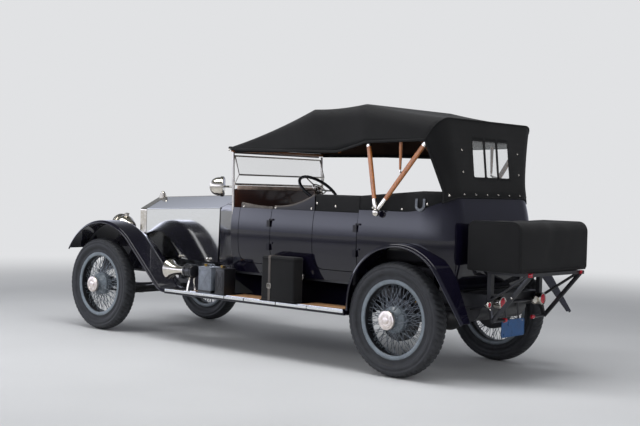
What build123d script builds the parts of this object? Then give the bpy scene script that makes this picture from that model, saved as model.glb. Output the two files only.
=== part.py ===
from build123d import *
import math
import os

os.makedirs("parts", exist_ok=True)

# Open touring car, about 1914: X runs forward, Y to the car's left, Z up, in millimetres
wheelbase = 3645.0
body_half = 690.0
track = 2 * (body_half + 21.0)
front_reach = 505.0
rear_reach = 1000.0
rear_axle_x = (rear_reach - wheelbase - front_reach) / 2
front_axle_x = rear_axle_x + wheelbase
wheel_y = track / 2

# Clearances: turning fit on a pin, seated faces, shut lines round moving panels
turn_fit = 0.05
seat = 0.3
shut_gap = 6.0

# Wheels and tyres
tyre_diameter = 895.0
tyre_width = 135.0
tyre_depth = 132.5
rim_radius = tyre_diameter / 2 - tyre_depth
rim_width = 92.0
rim_depth = 16.0
flange_height = 15.0
flange_width = 6.0
spindle_radius = 25.0
hub_inner = 18.0
hub_outer = 150.0
hub_radius = 52.0
hub_flange_radius = 98.0
cap_radius = 72.0
spoke_size = 5.0
axle_z = tyre_diameter / 2
drum_radius = 170.0
drum_width = 62.0

# Chassis rails and axles
rail_top = axle_z + 222.5
rail_depth = 100.0
rail_width = 50.0
rail_wall = 8.0
frame_half = body_half - 310.0
rail_tail = 600.0
dumb_iron_start = 230.0
eye_radius = 25.0
eye_z = rail_top - 145.0
rail_bottom = rail_top - rail_depth
rail_mid_y = frame_half - rail_width / 2
cross_x = front_axle_x - 60.0
cross_depth = 60.0
cross_top = rail_top - 15.0
crank_z = rail_top - 55.0
crank_radius = 16.0
crank_boss = 45.0
tie_radius = 12.0
tie_z = crank_z - crank_radius - 3 * tie_radius

# Leaf springs
leaf = 8.0
spring_width = 50.0
front_camber = 50.0
rear_camber = 35.0
front_tip_z = eye_z - eye_radius - seat
leaf_count = 5
spring_pack = leaf * leaf_count
front_seat_z = front_tip_z - front_camber - spring_pack - seat

# King pins and steering
king_y = wheel_y - 91.0
king_radius = 14.0
king_boss = 32.0
king_boss_half = 40.0
king_gap = 5.5
lug_height = 22.0
arm_length = 160.0
arm_pin = 10.0
arm_thick = 16.0
rod_radius = 11.0
rod_eye = 20.0
rod_eye_height = 26.0

# Body: stations are distances ahead of the rear axle
bonnet_back = 2400.0
dash_station = 1960.0
body_front = 1930.0
curve_start = 1200.0
rear_wing_back = 40.0
rear_wing_radius = tyre_diameter / 2 + 52.5
quarter_front = rear_wing_radius - rear_wing_back - 20.0
side_back = -170.0
corner_radius = 260.0
front_narrowing = 45.0
wall_inset = 80.0
body_bottom = rail_top + 20.3
body_widest_z = rail_top + 360.0
body_top = rail_top + 585.0
quarter_top = body_top + 25.0
band_top = body_top + 140.0
tail_top = quarter_top + 150.0
tail_band = 15.0
band_thick = 46.0
band_round = 10.0
door_bottom = rail_top + 105.0
door_corner = 100.0
# Doors: name, hinge station at the back edge, latch station at the front edge
door_rows = [("door_front", 1405.0, 1827.0), ("door_rear", quarter_front, quarter_front + 483.0)]
# Door hinge barrels: radius, length and heights
barrel_radius = 6.0
barrel_length = 56.0
hinge_pin = 3.5
barrel_heights = (rail_top + 260.0, rail_top + 460.0)
floor_thick = 19.4
floor_half = body_half - 90.0
floor_half_rear = body_half - 130.0

# Bonnet, radiator and scuttle
radiator_front = front_axle_x + 10.0
radiator_depth = 95.0
radiator_half = 250.0
radiator_shoulder = rail_top + 520.0
radiator_ridge = radiator_shoulder + 122.0
radiator_border = 34.0
bonnet_rear_half = 330.0
bonnet_rear_shoulder = radiator_shoulder + 45.0
bonnet_rear_ridge = radiator_ridge + 46.0
bonnet_bottom = rail_top + 50.0
panel = 5.0
hinge_rod = 6.0
scuttle_half = body_half - 105.0
scuttle_shoulder = bonnet_rear_shoulder + 15.0
scuttle_crown = bonnet_rear_ridge + 42.0
scuttle_wall = 24.0
dash_top = scuttle_crown + 20.0
dash_low = dash_top - 230.0
dash_thick = 22.0

# Windscreen
post_radius = 12.0
dash_half = scuttle_half - 2.0
post_y = dash_half + seat + post_radius
post_foot = dash_top - 330.0
post_top = dash_top + 322.0
post_lean = 25.0

# Hood: bows stand in planes through one pivot line
hood_pivot_station = 232.0
hood_pivot_z = body_top + 10.0
cloth = 8.0
# Bows: angle above forward, reach, half-width, corner radius, hem distance, depth of the bow under the cloth
bow_rows = [
    (16.4, 1845.0, body_half - 50.0, 40.0, 1780.0, 12.0),
    (47.5, 1135.0, body_half, 110.0, 650.0, 12.5),
    (75.7, 895.0, body_half, 110.0, 575.0, 7.0),
    (127.0, 930.0, body_half - 10.0, 130.0, 715.0, 16.0),
]
# Foot of the hood on the band: corner radius and length of the straight side
hood_foot_corner = 180.0
hood_foot_side = 8.0
hood_quarter_foot = -316.0
stick_width = 36.0
stick_thick = 20.0
pivot_boss = 24.0

# Wings and running boards
wing_half = body_half + 110.0
board_top = rail_top - 190.0
board_thick = 42.0
sheet = 4.0
front_wing_back = 60.0
front_wing_z = axle_z - 0.5
front_wing_radius = tyre_diameter / 2 + 184.5
front_wing_tip = 32.0
front_wing_tail = 43.0
rear_wing_z = axle_z + 92.5
rear_wing_tail = 56.0
rear_wing_end = board_top + 4.0
wing_tip = 75.0
apron_bottom = rail_bottom + 20.0
wing_inner_rear = body_half - 90.0
arch_gap = 0.5
bead_radius = 7.0

# Lamps, horn, cans, trunks
lamp_radius = 120.0
lamp_y = rail_mid_y - 67.0
lamp_z = rail_top + 330.0
lamp_ahead = 205.0
can_height = 262.0
# Cans on the left board: station of the back face, length, depth
can_rows = [(1852.0, 112.0, 150.0), (2020.0, 165.0, 150.0)]
tool_trunk_back = 1005.0
tool_trunk_length = 375.0
tool_trunk_depth = 118.0
tool_trunk_height = 385.0
trunk_front = -492.0
trunk_back = -962.0
trunk_half = 500.0
trunk_bottom = rail_top + 186.0
trunk_top = trunk_bottom + 382.0
rack_half = frame_half - 6.0
rack_bar = 26.0

# Steering column and wheel
column_y = -270.0
column_top_station = 1715.0
column_top_z = dash_top + 5.0
column_angle = 52.0
column_radius = 20.0
steering_radius = 200.0
steering_rim = 15.0


def station(ahead):
    """Return the x of a place the given distance ahead of the rear axle."""
    return rear_axle_x + ahead


def outline(rows):
    """Draw a closed outline from rows of x, y and corner radius."""
    count = len(rows)
    ends = []
    for i in range(count):
        x, y, r = rows[i]
        px, py = rows[i - 1][:2]
        nx, ny = rows[(i + 1) % count][:2]
        if r == 0:
            ends.append(((x, y), None, (x, y)))
            continue
        before = Vector(px - x, py - y).normalized()
        after = Vector(nx - x, ny - y).normalized()
        half = math.acos(max(-1.0, min(1.0, before.dot(after)))) / 2
        run = r / math.tan(half)
        bisector = (before + after).normalized()
        crest = Vector(x, y) + bisector * (r / math.sin(half) - r)
        first = Vector(x, y) + before * run
        last = Vector(x, y) + after * run
        ends.append(((first.X, first.Y), (crest.X, crest.Y), (last.X, last.Y)))
    for i in range(count):
        first, crest, last = ends[i]
        if crest is not None:
            ThreePointArc(first, crest, last)
        Line(last, ends[(i + 1) % count][0])


def block(x0, x1, y0, y1, z0, z1, mode=Mode.ADD):
    """Put a box between the given limits."""
    with Locations(((x0 + x1) / 2, (y0 + y1) / 2, (z0 + z1) / 2)):
        Box(x1 - x0, y1 - y0, z1 - z0, mode=mode)


def rod(start, end, radius, mode=Mode.ADD):
    """Put a round rod between two points."""
    a = Vector(*start)
    b = Vector(*end)
    with Locations(Location(Plane(origin=(a + b) / 2, z_dir=b - a))):
        Cylinder(radius, (b - a).length, mode=mode)


def side_plane(y):
    """Return the upright plane at a given y, with local x along +X and local y up, facing -Y."""
    return Plane(origin=(0, y, 0), x_dir=(1, 0, 0), z_dir=(0, -1, 0))


def cross_plane(x):
    """Return the upright plane at a given x, with local x along +Y and local y up, facing +X."""
    return Plane(origin=(x, 0, 0), x_dir=(0, 1, 0), z_dir=(1, 0, 0))


def save(shape, name):
    """Label a finished piece and write its step file."""
    shape.label = name
    export_step(shape, "parts/" + name + ".step")


def turned(shape):
    """Return the copy of a left piece for the right side."""
    return mirror(shape, about=Plane.XZ)


# Chassis frame: two channel rails with dumb irons, cross members and the crank bearing
tip_x = front_axle_x + front_reach - eye_radius
bend_x = front_axle_x + dumb_iron_start
tail_x = station(-rail_tail)
with BuildPart() as rail:
    with BuildSketch(side_plane(frame_half)):
        with BuildLine():
            Polyline((bend_x, rail_top), (tail_x, rail_top), (tail_x, rail_bottom), (bend_x, rail_bottom))
            TangentArc((bend_x, rail_bottom), (tip_x, eye_z - eye_radius), tangent=(1, 0))
            Line((tip_x, eye_z - eye_radius), (tip_x, eye_z + eye_radius))
            TangentArc((bend_x, rail_top), (tip_x, eye_z + eye_radius), tangent=(1, 0))
        make_face()
        with Locations((tip_x, eye_z)):
            Circle(eye_radius)
    extrude(amount=rail_width)
    block(tail_x + 20, front_axle_x - 80, frame_half - rail_width - 1, frame_half - rail_wall,
          rail_bottom + rail_wall, rail_top - rail_wall, mode=Mode.SUBTRACT)
    hanger_x = front_axle_x - front_reach + eye_radius
    block(hanger_x - 22, hanger_x + 22, frame_half - rail_width, frame_half,
          front_tip_z + seat, rail_bottom + 1)
with BuildPart() as chassis_frame:
    add(rail.part)
    add(turned(rail.part))
    inner = frame_half - rail_width + 1
    block(cross_x, cross_x + cross_depth, -inner, inner, rail_bottom + 5, cross_top)
    for ahead in (1380.0, 860.0):
        block(station(ahead), station(ahead) + cross_depth, -frame_half + rail_wall / 2,
              frame_half - rail_wall / 2, rail_bottom + rail_wall + 2, rail_top - rail_wall - 2)
    block(tail_x, tail_x + 40, -inner, inner, rail_bottom, rail_top)
    rod((front_axle_x + 300, -inner, tie_z), (front_axle_x + 300, inner, tie_z), tie_radius)
    nose = cross_x + cross_depth
    rod((nose - 1, 0, crank_z), (nose + crank_boss, 0, crank_z), 2 * crank_radius)
    rod((cross_x - 5, 0, crank_z), (nose + crank_boss + 5, 0, crank_z), crank_radius, mode=Mode.SUBTRACT)
save(chassis_frame.part, "chassis_frame")

# Leaf springs: place, half length, camber, height of the leaf tips
spring_rows = [
    (front_axle_x, front_reach - eye_radius - 0.0, front_camber, front_tip_z),
    (rear_axle_x, 560.0, rear_camber, rail_bottom - seat),
]
with BuildPart() as springs:
    for side in (1, -1):
        for centre_x, half_length, camber, tip_z in spring_rows:
            bend = (half_length ** 2 + camber ** 2) / (2 * camber)
            top_z = tip_z - camber + bend
            for i in range(leaf_count):
                near = bend + i * leaf
                far = near + leaf
                reach = half_length * (1 - i / leaf_count)
                turn = math.asin(reach / bend)
                s, c = math.sin(turn), math.cos(turn)
                with BuildSketch(side_plane(side * rail_mid_y + spring_width / 2)):
                    with BuildLine():
                        ThreePointArc((centre_x - near * s, top_z - near * c), (centre_x, top_z - near),
                                      (centre_x + near * s, top_z - near * c))
                        Line((centre_x + near * s, top_z - near * c), (centre_x + far * s, top_z - far * c))
                        ThreePointArc((centre_x - far * s, top_z - far * c), (centre_x, top_z - far),
                                      (centre_x + far * s, top_z - far * c))
                        Line((centre_x - near * s, top_z - near * c), (centre_x - far * s, top_z - far * c))
                    make_face()
                extrude(amount=spring_width)
save(springs.part, "springs")

# Front axle: dropped beam with king pin bosses and jacking pads
beam_top = front_seat_z
beam_low = beam_top - 62.0
boss_low = axle_z - king_boss_half
boss_high = axle_z + king_boss_half
pad_low = beam_low - 10.0
pad_radius = 38.0
pad_y = frame_half - 140.0
with BuildPart() as front_axle:
    for side in (1, -1):
        with BuildSketch(cross_plane(front_axle_x - 28)):
            with BuildLine():
                outline([(0, beam_low, 0), (side * (king_y - 200), beam_low, 60),
                         (side * (king_y - 50), boss_low + 12, 30),
                         (side * king_y, boss_low + 12, 0), (side * king_y, boss_high - 12, 0),
                         (side * (king_y - 60), boss_high - 12, 30), (side * (king_y - 180), beam_top, 60),
                         (0, beam_top, 0)])
            make_face()
        extrude(amount=56)
        rod((front_axle_x, side * king_y, boss_low), (front_axle_x, side * king_y, boss_high), king_boss)
        rod((front_axle_x, side * pad_y, pad_low), (front_axle_x, side * pad_y, beam_low + 5), pad_radius)
    for face in (1, -1):
        block(front_axle_x + face * 28 - 18, front_axle_x + face * 28 + 18, -king_y + 320, king_y - 320,
              beam_low + 14, beam_top - 14, mode=Mode.SUBTRACT)
    for side in (1, -1):
        rod((front_axle_x, side * king_y, boss_low - 5), (front_axle_x, side * king_y, boss_high + 5),
            king_radius + turn_fit, mode=Mode.SUBTRACT)
save(front_axle.part, "front_axle")

# Steering knuckle: forked lugs, king pin, wheel spindle and track rod arm
lug_low = boss_low - king_gap - lug_height
lug_high = boss_high + king_gap + lug_height
web_in = king_y + king_boss + 6
web_out = web_in + 22
spindle_end = wheel_y + 95.0
pin_low = lug_low - 30.0
pin_x = front_axle_x - arm_length
with BuildPart() as knuckle_left:
    for low in (lug_low, lug_high - lug_height):
        rod((front_axle_x, king_y, low), (front_axle_x, king_y, low + lug_height), king_boss)
        block(front_axle_x - king_boss, front_axle_x + king_boss, king_y, web_out, low, low + lug_height)
    block(front_axle_x - king_boss, front_axle_x + king_boss, web_in, web_out, lug_low, lug_high)
    rod((front_axle_x, king_y, lug_low), (front_axle_x, king_y, lug_high), king_radius)
    rod((front_axle_x, web_in, axle_z), (front_axle_x, spindle_end, axle_z), spindle_radius)
    block(pin_x, front_axle_x, king_y - 15, king_y + 15, lug_low, lug_low + arm_thick)
    rod((pin_x, king_y, lug_low), (pin_x, king_y, lug_low + arm_thick), rod_eye)
    rod((pin_x, king_y, pin_low), (pin_x, king_y, lug_low + 2), arm_pin)
save(knuckle_left.part, "knuckle_left")
save(turned(knuckle_left.part), "knuckle_right")

# Track rod with an eye round each arm's pin
rod_z = lug_low - seat - rod_eye_height / 2
with BuildPart() as track_rod:
    rod((pin_x, -king_y + rod_eye / 2, rod_z), (pin_x, king_y - rod_eye / 2, rod_z), rod_radius)
    for side in (1, -1):
        rod((pin_x, side * king_y, rod_z - rod_eye_height / 2),
            (pin_x, side * king_y, rod_z + rod_eye_height / 2), rod_eye)
    for side in (1, -1):
        rod((pin_x, side * king_y, rod_z - rod_eye_height), (pin_x, side * king_y, rod_z + rod_eye_height),
            arm_pin + turn_fit, mode=Mode.SUBTRACT)
save(track_rod.part, "track_rod")

# Rear axle: tube, final drive, torque tube, spring perches and jacking pads
tube_radius = 42.0
perch_z = rail_bottom - seat - rear_camber - spring_pack - seat
rear_web = wheel_y - hub_inner - drum_width - 24.0
torque_end = station(1500.0)
rear_pad_y = wheel_y - 241.0
rear_pad_low = axle_z - tube_radius - 12.0
with BuildPart() as rear_axle:
    rod((rear_axle_x, -rear_web, axle_z), (rear_axle_x, rear_web, axle_z), tube_radius)
    rod((rear_axle_x, -spindle_end, axle_z), (rear_axle_x, spindle_end, axle_z), spindle_radius)
    with Locations((rear_axle_x, 0, axle_z)):
        Sphere(135)
    rod((rear_axle_x, 0, axle_z), (torque_end, 0, axle_z), 44)
    for side in (1, -1):
        block(rear_axle_x - 32, rear_axle_x + 32, side * rail_mid_y - 28, side * rail_mid_y + 28,
              axle_z, perch_z)
        rod((rear_axle_x, side * rear_pad_y, rear_pad_low), (rear_axle_x, side * rear_pad_y, axle_z), pad_radius)
save(rear_axle.part, "rear_axle")

# Engine and gearbox as one plain block on four bearer arms
engine_front = front_axle_x - 230.0
engine_back = station(2460.0)
gearbox_back = torque_end + seat
with BuildPart() as engine:
    block(engine_back, engine_front, -190, 190, rail_bottom - 10, rail_top + 410)
    block(gearbox_back, engine_back + 1, -140, 140, axle_z - 17.5, rail_top - 20)
    for arm_x in (engine_back + 60, engine_front - 120):
        block(arm_x, arm_x + 60, -rail_mid_y, rail_mid_y, rail_top + seat, rail_top + 34)
save(engine.part, "engine")

# Exhaust: pipe along the left rail, silencer and its strap
exhaust_y = frame_half - 140.0
exhaust_z = rail_bottom - 30.0
silencer_z = rail_bottom - 75.0
strap_station = 875.0
with BuildPart() as exhaust:
    rod((station(-250), exhaust_y, exhaust_z), (engine_back - 40, exhaust_y, exhaust_z), 26)
    rod((station(620), exhaust_y, silencer_z), (station(1260), exhaust_y, silencer_z), 72)
    block(station(strap_station), station(strap_station + 30), exhaust_y - 20, exhaust_y + 20, silencer_z,
          rail_bottom + rail_wall + 2 - seat)
save(exhaust.part, "exhaust")

# Fuel tank slung between the rails
tank_radius = 118.0
tank_z = rail_bottom - 10.0
tank_half = frame_half - rail_width - seat
with BuildPart() as fuel_tank:
    rod((station(-400), -tank_half, tank_z), (station(-400), tank_half, tank_z), tank_radius)
save(fuel_tank.part, "fuel_tank")

# Radiator shell with gabled top and plain filler cap
radiator_back = radiator_front - radiator_depth
radiator_low = cross_top + seat
with BuildPart() as radiator_shell:
    with BuildSketch(cross_plane(radiator_back)):
        with BuildLine():
            outline([(-radiator_half, radiator_low, 0), (-radiator_half, radiator_shoulder, 26),
                     (0, radiator_ridge, 30), (radiator_half, radiator_shoulder, 26),
                     (radiator_half, radiator_low, 0)])
        make_face()
    extrude(amount=radiator_depth)
    opening_half = radiator_half - radiator_border
    with BuildSketch(cross_plane(radiator_back - 1)):
        with BuildLine():
            outline([(-opening_half, radiator_low + 40, 0), (-opening_half, radiator_shoulder - 22, 10),
                     (0, radiator_ridge - 48, 20), (opening_half, radiator_shoulder - 22, 10),
                     (opening_half, radiator_low + 40, 0)])
        make_face()
    extrude(amount=radiator_depth + 2, mode=Mode.SUBTRACT)
    cap_x = radiator_back + radiator_depth / 2
    rod((cap_x, 0, radiator_ridge - 34), (cap_x, 0, radiator_ridge + 16), 36)
    rod((cap_x, 0, radiator_ridge + 10), (cap_x, 0, radiator_ridge + 36), 30)
    with Locations((cap_x, 0, radiator_ridge + 36)):
        Sphere(22)
save(radiator_shell.part, "radiator_shell")

# Radiator core with upright fins
core_back = radiator_back + 18
core_front = radiator_front - 16
fin_count = 26
fin_pitch = 2 * (opening_half - 8) / fin_count
with BuildPart() as radiator_core:
    with BuildSketch(cross_plane(core_back)):
        with BuildLine():
            outline([(-opening_half + seat, radiator_low + 40 + seat, 0),
                     (-opening_half + seat, radiator_shoulder - 22 - seat, 10),
                     (0, radiator_ridge - 48 - 1.2 * seat, 20),
                     (opening_half - seat, radiator_shoulder - 22 - seat, 10),
                     (opening_half - seat, radiator_low + 40 + seat, 0)])
        make_face()
    extrude(amount=core_front - core_back)
    with Locations((core_front, 0, (radiator_low + 48 + radiator_shoulder - 40) / 2)):
        with GridLocations(1, fin_pitch, 1, fin_count):
            Box(16, fin_pitch * 0.6, radiator_shoulder - radiator_low - 88, mode=Mode.SUBTRACT)
save(radiator_core.part, "radiator_core")


def bonnet_at(x):
    """Return half-width, shoulder height and ridge height of the bonnet at a place."""
    share = (radiator_back - x) / (radiator_back - station(bonnet_back))
    half = radiator_half + share * (bonnet_rear_half - radiator_half)
    shoulder = radiator_shoulder + share * (bonnet_rear_shoulder - radiator_shoulder)
    ridge = radiator_ridge + share * (bonnet_rear_ridge - radiator_ridge)
    return half, shoulder, ridge


# Bonnet hinge rod along the ridge
hinge_drop = 4.0
side_head_gap = 8.0
side_foot_gap = 24.0
bonnet_x1 = radiator_back - shut_gap
bonnet_x0 = station(bonnet_back) + shut_gap
ridge_front = bonnet_at(radiator_back)[2] - hinge_drop
ridge_back = bonnet_at(station(bonnet_back))[2] - hinge_drop
with BuildPart() as bonnet_hinge:
    rod((station(bonnet_back) + seat, 0, ridge_back), (radiator_back - seat, 0, ridge_front), hinge_rod)
save(bonnet_hinge.part, "bonnet_hinge")

# Bonnet top panel from the ridge hinge to the shoulder rod
shoulder_rod = 5.0
with BuildPart() as bonnet_top_left:
    for x in (bonnet_x0, bonnet_x1):
        half, shoulder, ridge = bonnet_at(x)
        slope = (ridge - shoulder) / half
        near = hinge_rod + 0.4
        with BuildSketch(cross_plane(x)):
            with BuildLine():
                Polyline((near, ridge - near * slope), (half - 4, shoulder + 4 * slope),
                         (half - 4, shoulder + 4 * slope - panel), (near, ridge - near * slope - panel),
                         close=True)
            make_face()
    loft(ruled=True)
    half_back, shoulder_back, _ = bonnet_at(bonnet_x0)
    half_front, shoulder_front, _ = bonnet_at(bonnet_x1)
    rod((bonnet_x0, half_back - shoulder_rod, shoulder_back - 1),
        (bonnet_x1, half_front - shoulder_rod, shoulder_front - 1), shoulder_rod)
save(bonnet_top_left.part, "bonnet_top_left")
save(turned(bonnet_top_left.part), "bonnet_top_right")

# Bonnet side panel hanging from the shoulder rod
with BuildPart() as bonnet_side_left:
    for x in (station(bonnet_back) + side_head_gap, bonnet_x1):
        half, shoulder, _ = bonnet_at(x)
        head = shoulder - 1 - shoulder_rod - 0.6
        with BuildSketch(cross_plane(x)):
            with BuildLine():
                Polyline((half, head), (half, bonnet_bottom), (half - panel, bonnet_bottom),
                         (half - panel, head), close=True)
            make_face()
    loft(ruled=True)
    with BuildSketch(side_plane(bonnet_rear_half + 50)):
        with BuildLine():
            Polyline((station(bonnet_back), bonnet_bottom), (station(bonnet_back) + side_foot_gap, bonnet_bottom),
                     (station(bonnet_back) + side_head_gap, bonnet_rear_shoulder),
                     (station(bonnet_back), bonnet_rear_shoulder), close=True)
        make_face()
    extrude(amount=200, mode=Mode.SUBTRACT)
save(bonnet_side_left.part, "bonnet_side_left")
save(turned(bonnet_side_left.part), "bonnet_side_right")

# Scuttle: flared shell from the bonnet to the dashboard, with a bulkhead across its front
# Sections: x, half-width, shoulder height, crown height, foot half-width
scuttle_rows = [
    (station(bonnet_back), bonnet_rear_half, bonnet_rear_shoulder, bonnet_rear_ridge, bonnet_rear_half),
    (station(dash_station), scuttle_half, scuttle_shoulder, scuttle_crown, scuttle_half - 18),
]
scuttle_low = rail_top + seat + floor_thick + seat
with BuildPart() as scuttle:
    for x, half, shoulder, crown, foot in scuttle_rows:
        t = scuttle_wall
        with BuildSketch(cross_plane(x)):
            with BuildLine():
                outline([(-foot, scuttle_low, 0), (-half, shoulder, 40), (0, crown, 120), (half, shoulder, 40),
                         (foot, scuttle_low, 0), (foot - t, scuttle_low, 0), (half - t, shoulder - t, 26),
                         (0, crown - t, 110), (-half + t, shoulder - t, 26), (-foot + t, scuttle_low, 0)])
            make_face()
    loft(ruled=True)
    x, half, shoulder, crown, foot = scuttle_rows[0]
    with BuildSketch(cross_plane(x)):
        with BuildLine():
            outline([(-foot, scuttle_low, 0), (-half, shoulder, 40), (0, crown, 120), (half, shoulder, 40),
                     (foot, scuttle_low, 0)])
        make_face()
    extrude(amount=-12)
save(scuttle.part, "scuttle")

# Dashboard: a tall wooden board behind the scuttle, open below for the legs
dash_x = station(dash_station) - seat - dash_thick
with BuildPart() as dashboard:
    with BuildSketch(cross_plane(dash_x)):
        with BuildLine():
            outline([(-dash_half, dash_low, 0), (-dash_half, dash_top, 20), (dash_half, dash_top, 20),
                     (dash_half, dash_low, 0)])
        make_face()
    extrude(amount=dash_thick)
save(dashboard.part, "dashboard")

# Floor boards on top of the rails
floor_low = rail_top + seat
with BuildPart() as floor:
    with BuildSketch(Plane.XY.offset(floor_low)):
        with BuildLine():
            outline([(station(bonnet_back), -bonnet_rear_half, 0), (station(bonnet_back), bonnet_rear_half, 0),
                     (station(dash_station), scuttle_half - 18, 0), (station(body_front), floor_half, 0),
                     (station(560), floor_half, 0), (station(520), floor_half_rear, 0),
                     (station(-330), floor_half_rear, 60), (station(-330), -floor_half_rear, 60),
                     (station(520), -floor_half_rear, 0), (station(560), -floor_half, 0),
                     (station(body_front), -floor_half, 0), (station(dash_station), -scuttle_half + 18, 0)])
        make_face()
    extrude(amount=floor_thick)
save(floor.part, "floor")


def wall_rows(half, top):
    """Return the wall section as outer low point, bulge point, outer top point and inner distance."""
    return (half - 56, body_bottom), (half, body_widest_z), (half - 22, top), half - wall_inset


# Left body side from the quarter to the scuttle: a straight run and a slow curve inward
bend_radius = ((body_front - curve_start) ** 2 + front_narrowing ** 2) / (2 * front_narrowing)
bend_angle = math.degrees(math.asin((body_front - curve_start) / bend_radius))
with BuildPart() as side_wall:
    low, bulge, high, inside = wall_rows(body_half, body_top)
    with BuildSketch(cross_plane(station(quarter_front) + seat)):
        with BuildLine():
            ThreePointArc(low, bulge, high)
            Polyline(high, (inside, body_top), (inside, body_bottom), low)
        make_face()
    extrude(amount=curve_start - quarter_front - seat)
    with BuildSketch(cross_plane(station(curve_start))):
        with BuildLine():
            ThreePointArc(low, bulge, high)
            Polyline(high, (inside, body_top), (inside, body_bottom), low)
        make_face()
    revolve(axis=Axis((station(curve_start), body_half - bend_radius, 0), (0, 0, -1)),
            revolution_arc=bend_angle)


def door_cutter(back, front, low, margin, name):
    """Return the block that cuts a door or its opening out of the body side."""
    with BuildPart() as cutter:
        with BuildSketch(side_plane(body_half + 60)):
            with BuildLine():
                outline([(station(back) + margin, low + margin, 12), (station(back) + margin, body_top + 60, 0),
                         (station(front) - margin, body_top + 60, 0),
                         (station(front) - margin, low + margin, door_corner)])
            make_face()
        extrude(amount=260)
    cutter.part.label = name
    return cutter.part


def skin_at(ahead):
    """Return the body side's widest y at a station."""
    past = max(0.0, ahead - curve_start)
    return body_half - bend_radius + math.sqrt(bend_radius ** 2 - past ** 2)


def hinge_line(back):
    """Return the x and y of a door's hinge line."""
    return station(back) + shut_gap / 2, skin_at(back) + barrel_radius + 1.5


def fixed_hinges(back):
    """Put the pillar's hinge knuckles and pins on a door's hinge line."""
    x, y = hinge_line(back)
    for z in barrel_heights:
        low = z + barrel_length / 2 + 0.5
        rod((x, y, low), (x, y, low + 14), barrel_radius)
        block(x - 34, x, y - 20, y, low, low + 14)
        rod((x, y, z - barrel_length / 2), (x, y, low + 2), hinge_pin)


with BuildPart() as side_panel_left:
    add(side_wall.part)
    for name, back, front in door_rows:
        add(door_cutter(back, front, door_bottom, 0, name), mode=Mode.SUBTRACT)
    fixed_hinges(door_rows[0][1])
with BuildPart() as side_panels:
    add(side_panel_left.part)
    add(turned(side_panel_left.part))
save(side_panels.part, "side_panels")

for name, back, front in door_rows:
    hinge_x, hinge_y = hinge_line(back)
    with BuildPart() as door:
        add(side_wall.part)
        add(door_cutter(back, front, door_bottom, shut_gap, name), mode=Mode.INTERSECT)
        for z in barrel_heights:
            rod((hinge_x, hinge_y, z - barrel_length / 2), (hinge_x, hinge_y, z + barrel_length / 2), barrel_radius)
            block(hinge_x + 1, hinge_x + 34, hinge_y - 20, hinge_y, z - barrel_length / 2, z + barrel_length / 2)
            rod((hinge_x, hinge_y, z - barrel_length), (hinge_x, hinge_y, z + barrel_length),
                hinge_pin + turn_fit, mode=Mode.SUBTRACT)
    save(door.part, name + "_left")
    save(turned(door.part), name + "_right")

# Tonneau: rear body with rounded corners, cut over the rear wheels
arch_x = rear_axle_x - rear_wing_back
tail_turn = math.radians(rear_wing_tail)


def rear_wing_line(offset):
    """Return start, middle and end of the rear wing's arc and the end of its tail, moved outward by an offset."""
    radius = rear_wing_radius + offset
    turn = math.pi / 2 + tail_turn
    start = (arch_x + radius, rear_wing_z)
    middle = (arch_x + radius * math.cos(turn / 2), rear_wing_z + radius * math.sin(turn / 2))
    meet = (arch_x + radius * math.cos(turn), rear_wing_z + radius * math.sin(turn))
    run = (meet[1] - rear_wing_end) / math.tan(tail_turn)
    return start, middle, meet, (meet[0] - run, rear_wing_end)


def wall_out(z):
    """Return the tonneau wall's outer y at a height."""
    (y0, z0), (y1, z1), (y2, z2) = wall_rows(body_half, quarter_top)[:3]
    d = 2 * (y0 * (z1 - z2) + y1 * (z2 - z0) + y2 * (z0 - z1))
    a, b, c = y0 ** 2 + z0 ** 2, y1 ** 2 + z1 ** 2, y2 ** 2 + z2 ** 2
    cy = (a * (z1 - z2) + b * (z2 - z0) + c * (z0 - z1)) / d
    cz = (a * (y2 - y1) + b * (y0 - y2) + c * (y1 - y0)) / d
    return cy + math.sqrt((y0 - cy) ** 2 + (z0 - cz) ** 2 - (z - cz) ** 2)


# The quarter's top runs level and then rises to the back in one slow curve
corner_y = body_half - corner_radius
rise_run = corner_radius - side_back - 22.0
rise_radius = (rise_run ** 2 + (tail_top - quarter_top) ** 2) / (2 * (tail_top - quarter_top))


def rise_point(share, lift):
    """Return a point on the rising top line at a share of its turn, moved up by a lift."""
    turn = share * math.asin(rise_run / rise_radius)
    return (station(-rise_radius * math.sin(turn)), quarter_top + lift + rise_radius * (1 - math.cos(turn)))


def above_rise(lift, front, top):
    """Return the block above the rising top line, across the whole car."""
    with BuildPart() as upper:
        with BuildSketch(side_plane(body_half + 60)):
            with BuildLine():
                ThreePointArc(rise_point(0, lift), rise_point(0.5, lift), rise_point(1, lift))
                Polyline(rise_point(1, lift), (station(-rise_run - 80), rise_point(1, lift)[1]),
                         (station(-rise_run - 80), top), (station(front), top),
                         (station(front), quarter_top + lift), rise_point(0, lift))
            make_face()
        extrude(amount=2 * body_half + 120)
    return upper.part


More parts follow.
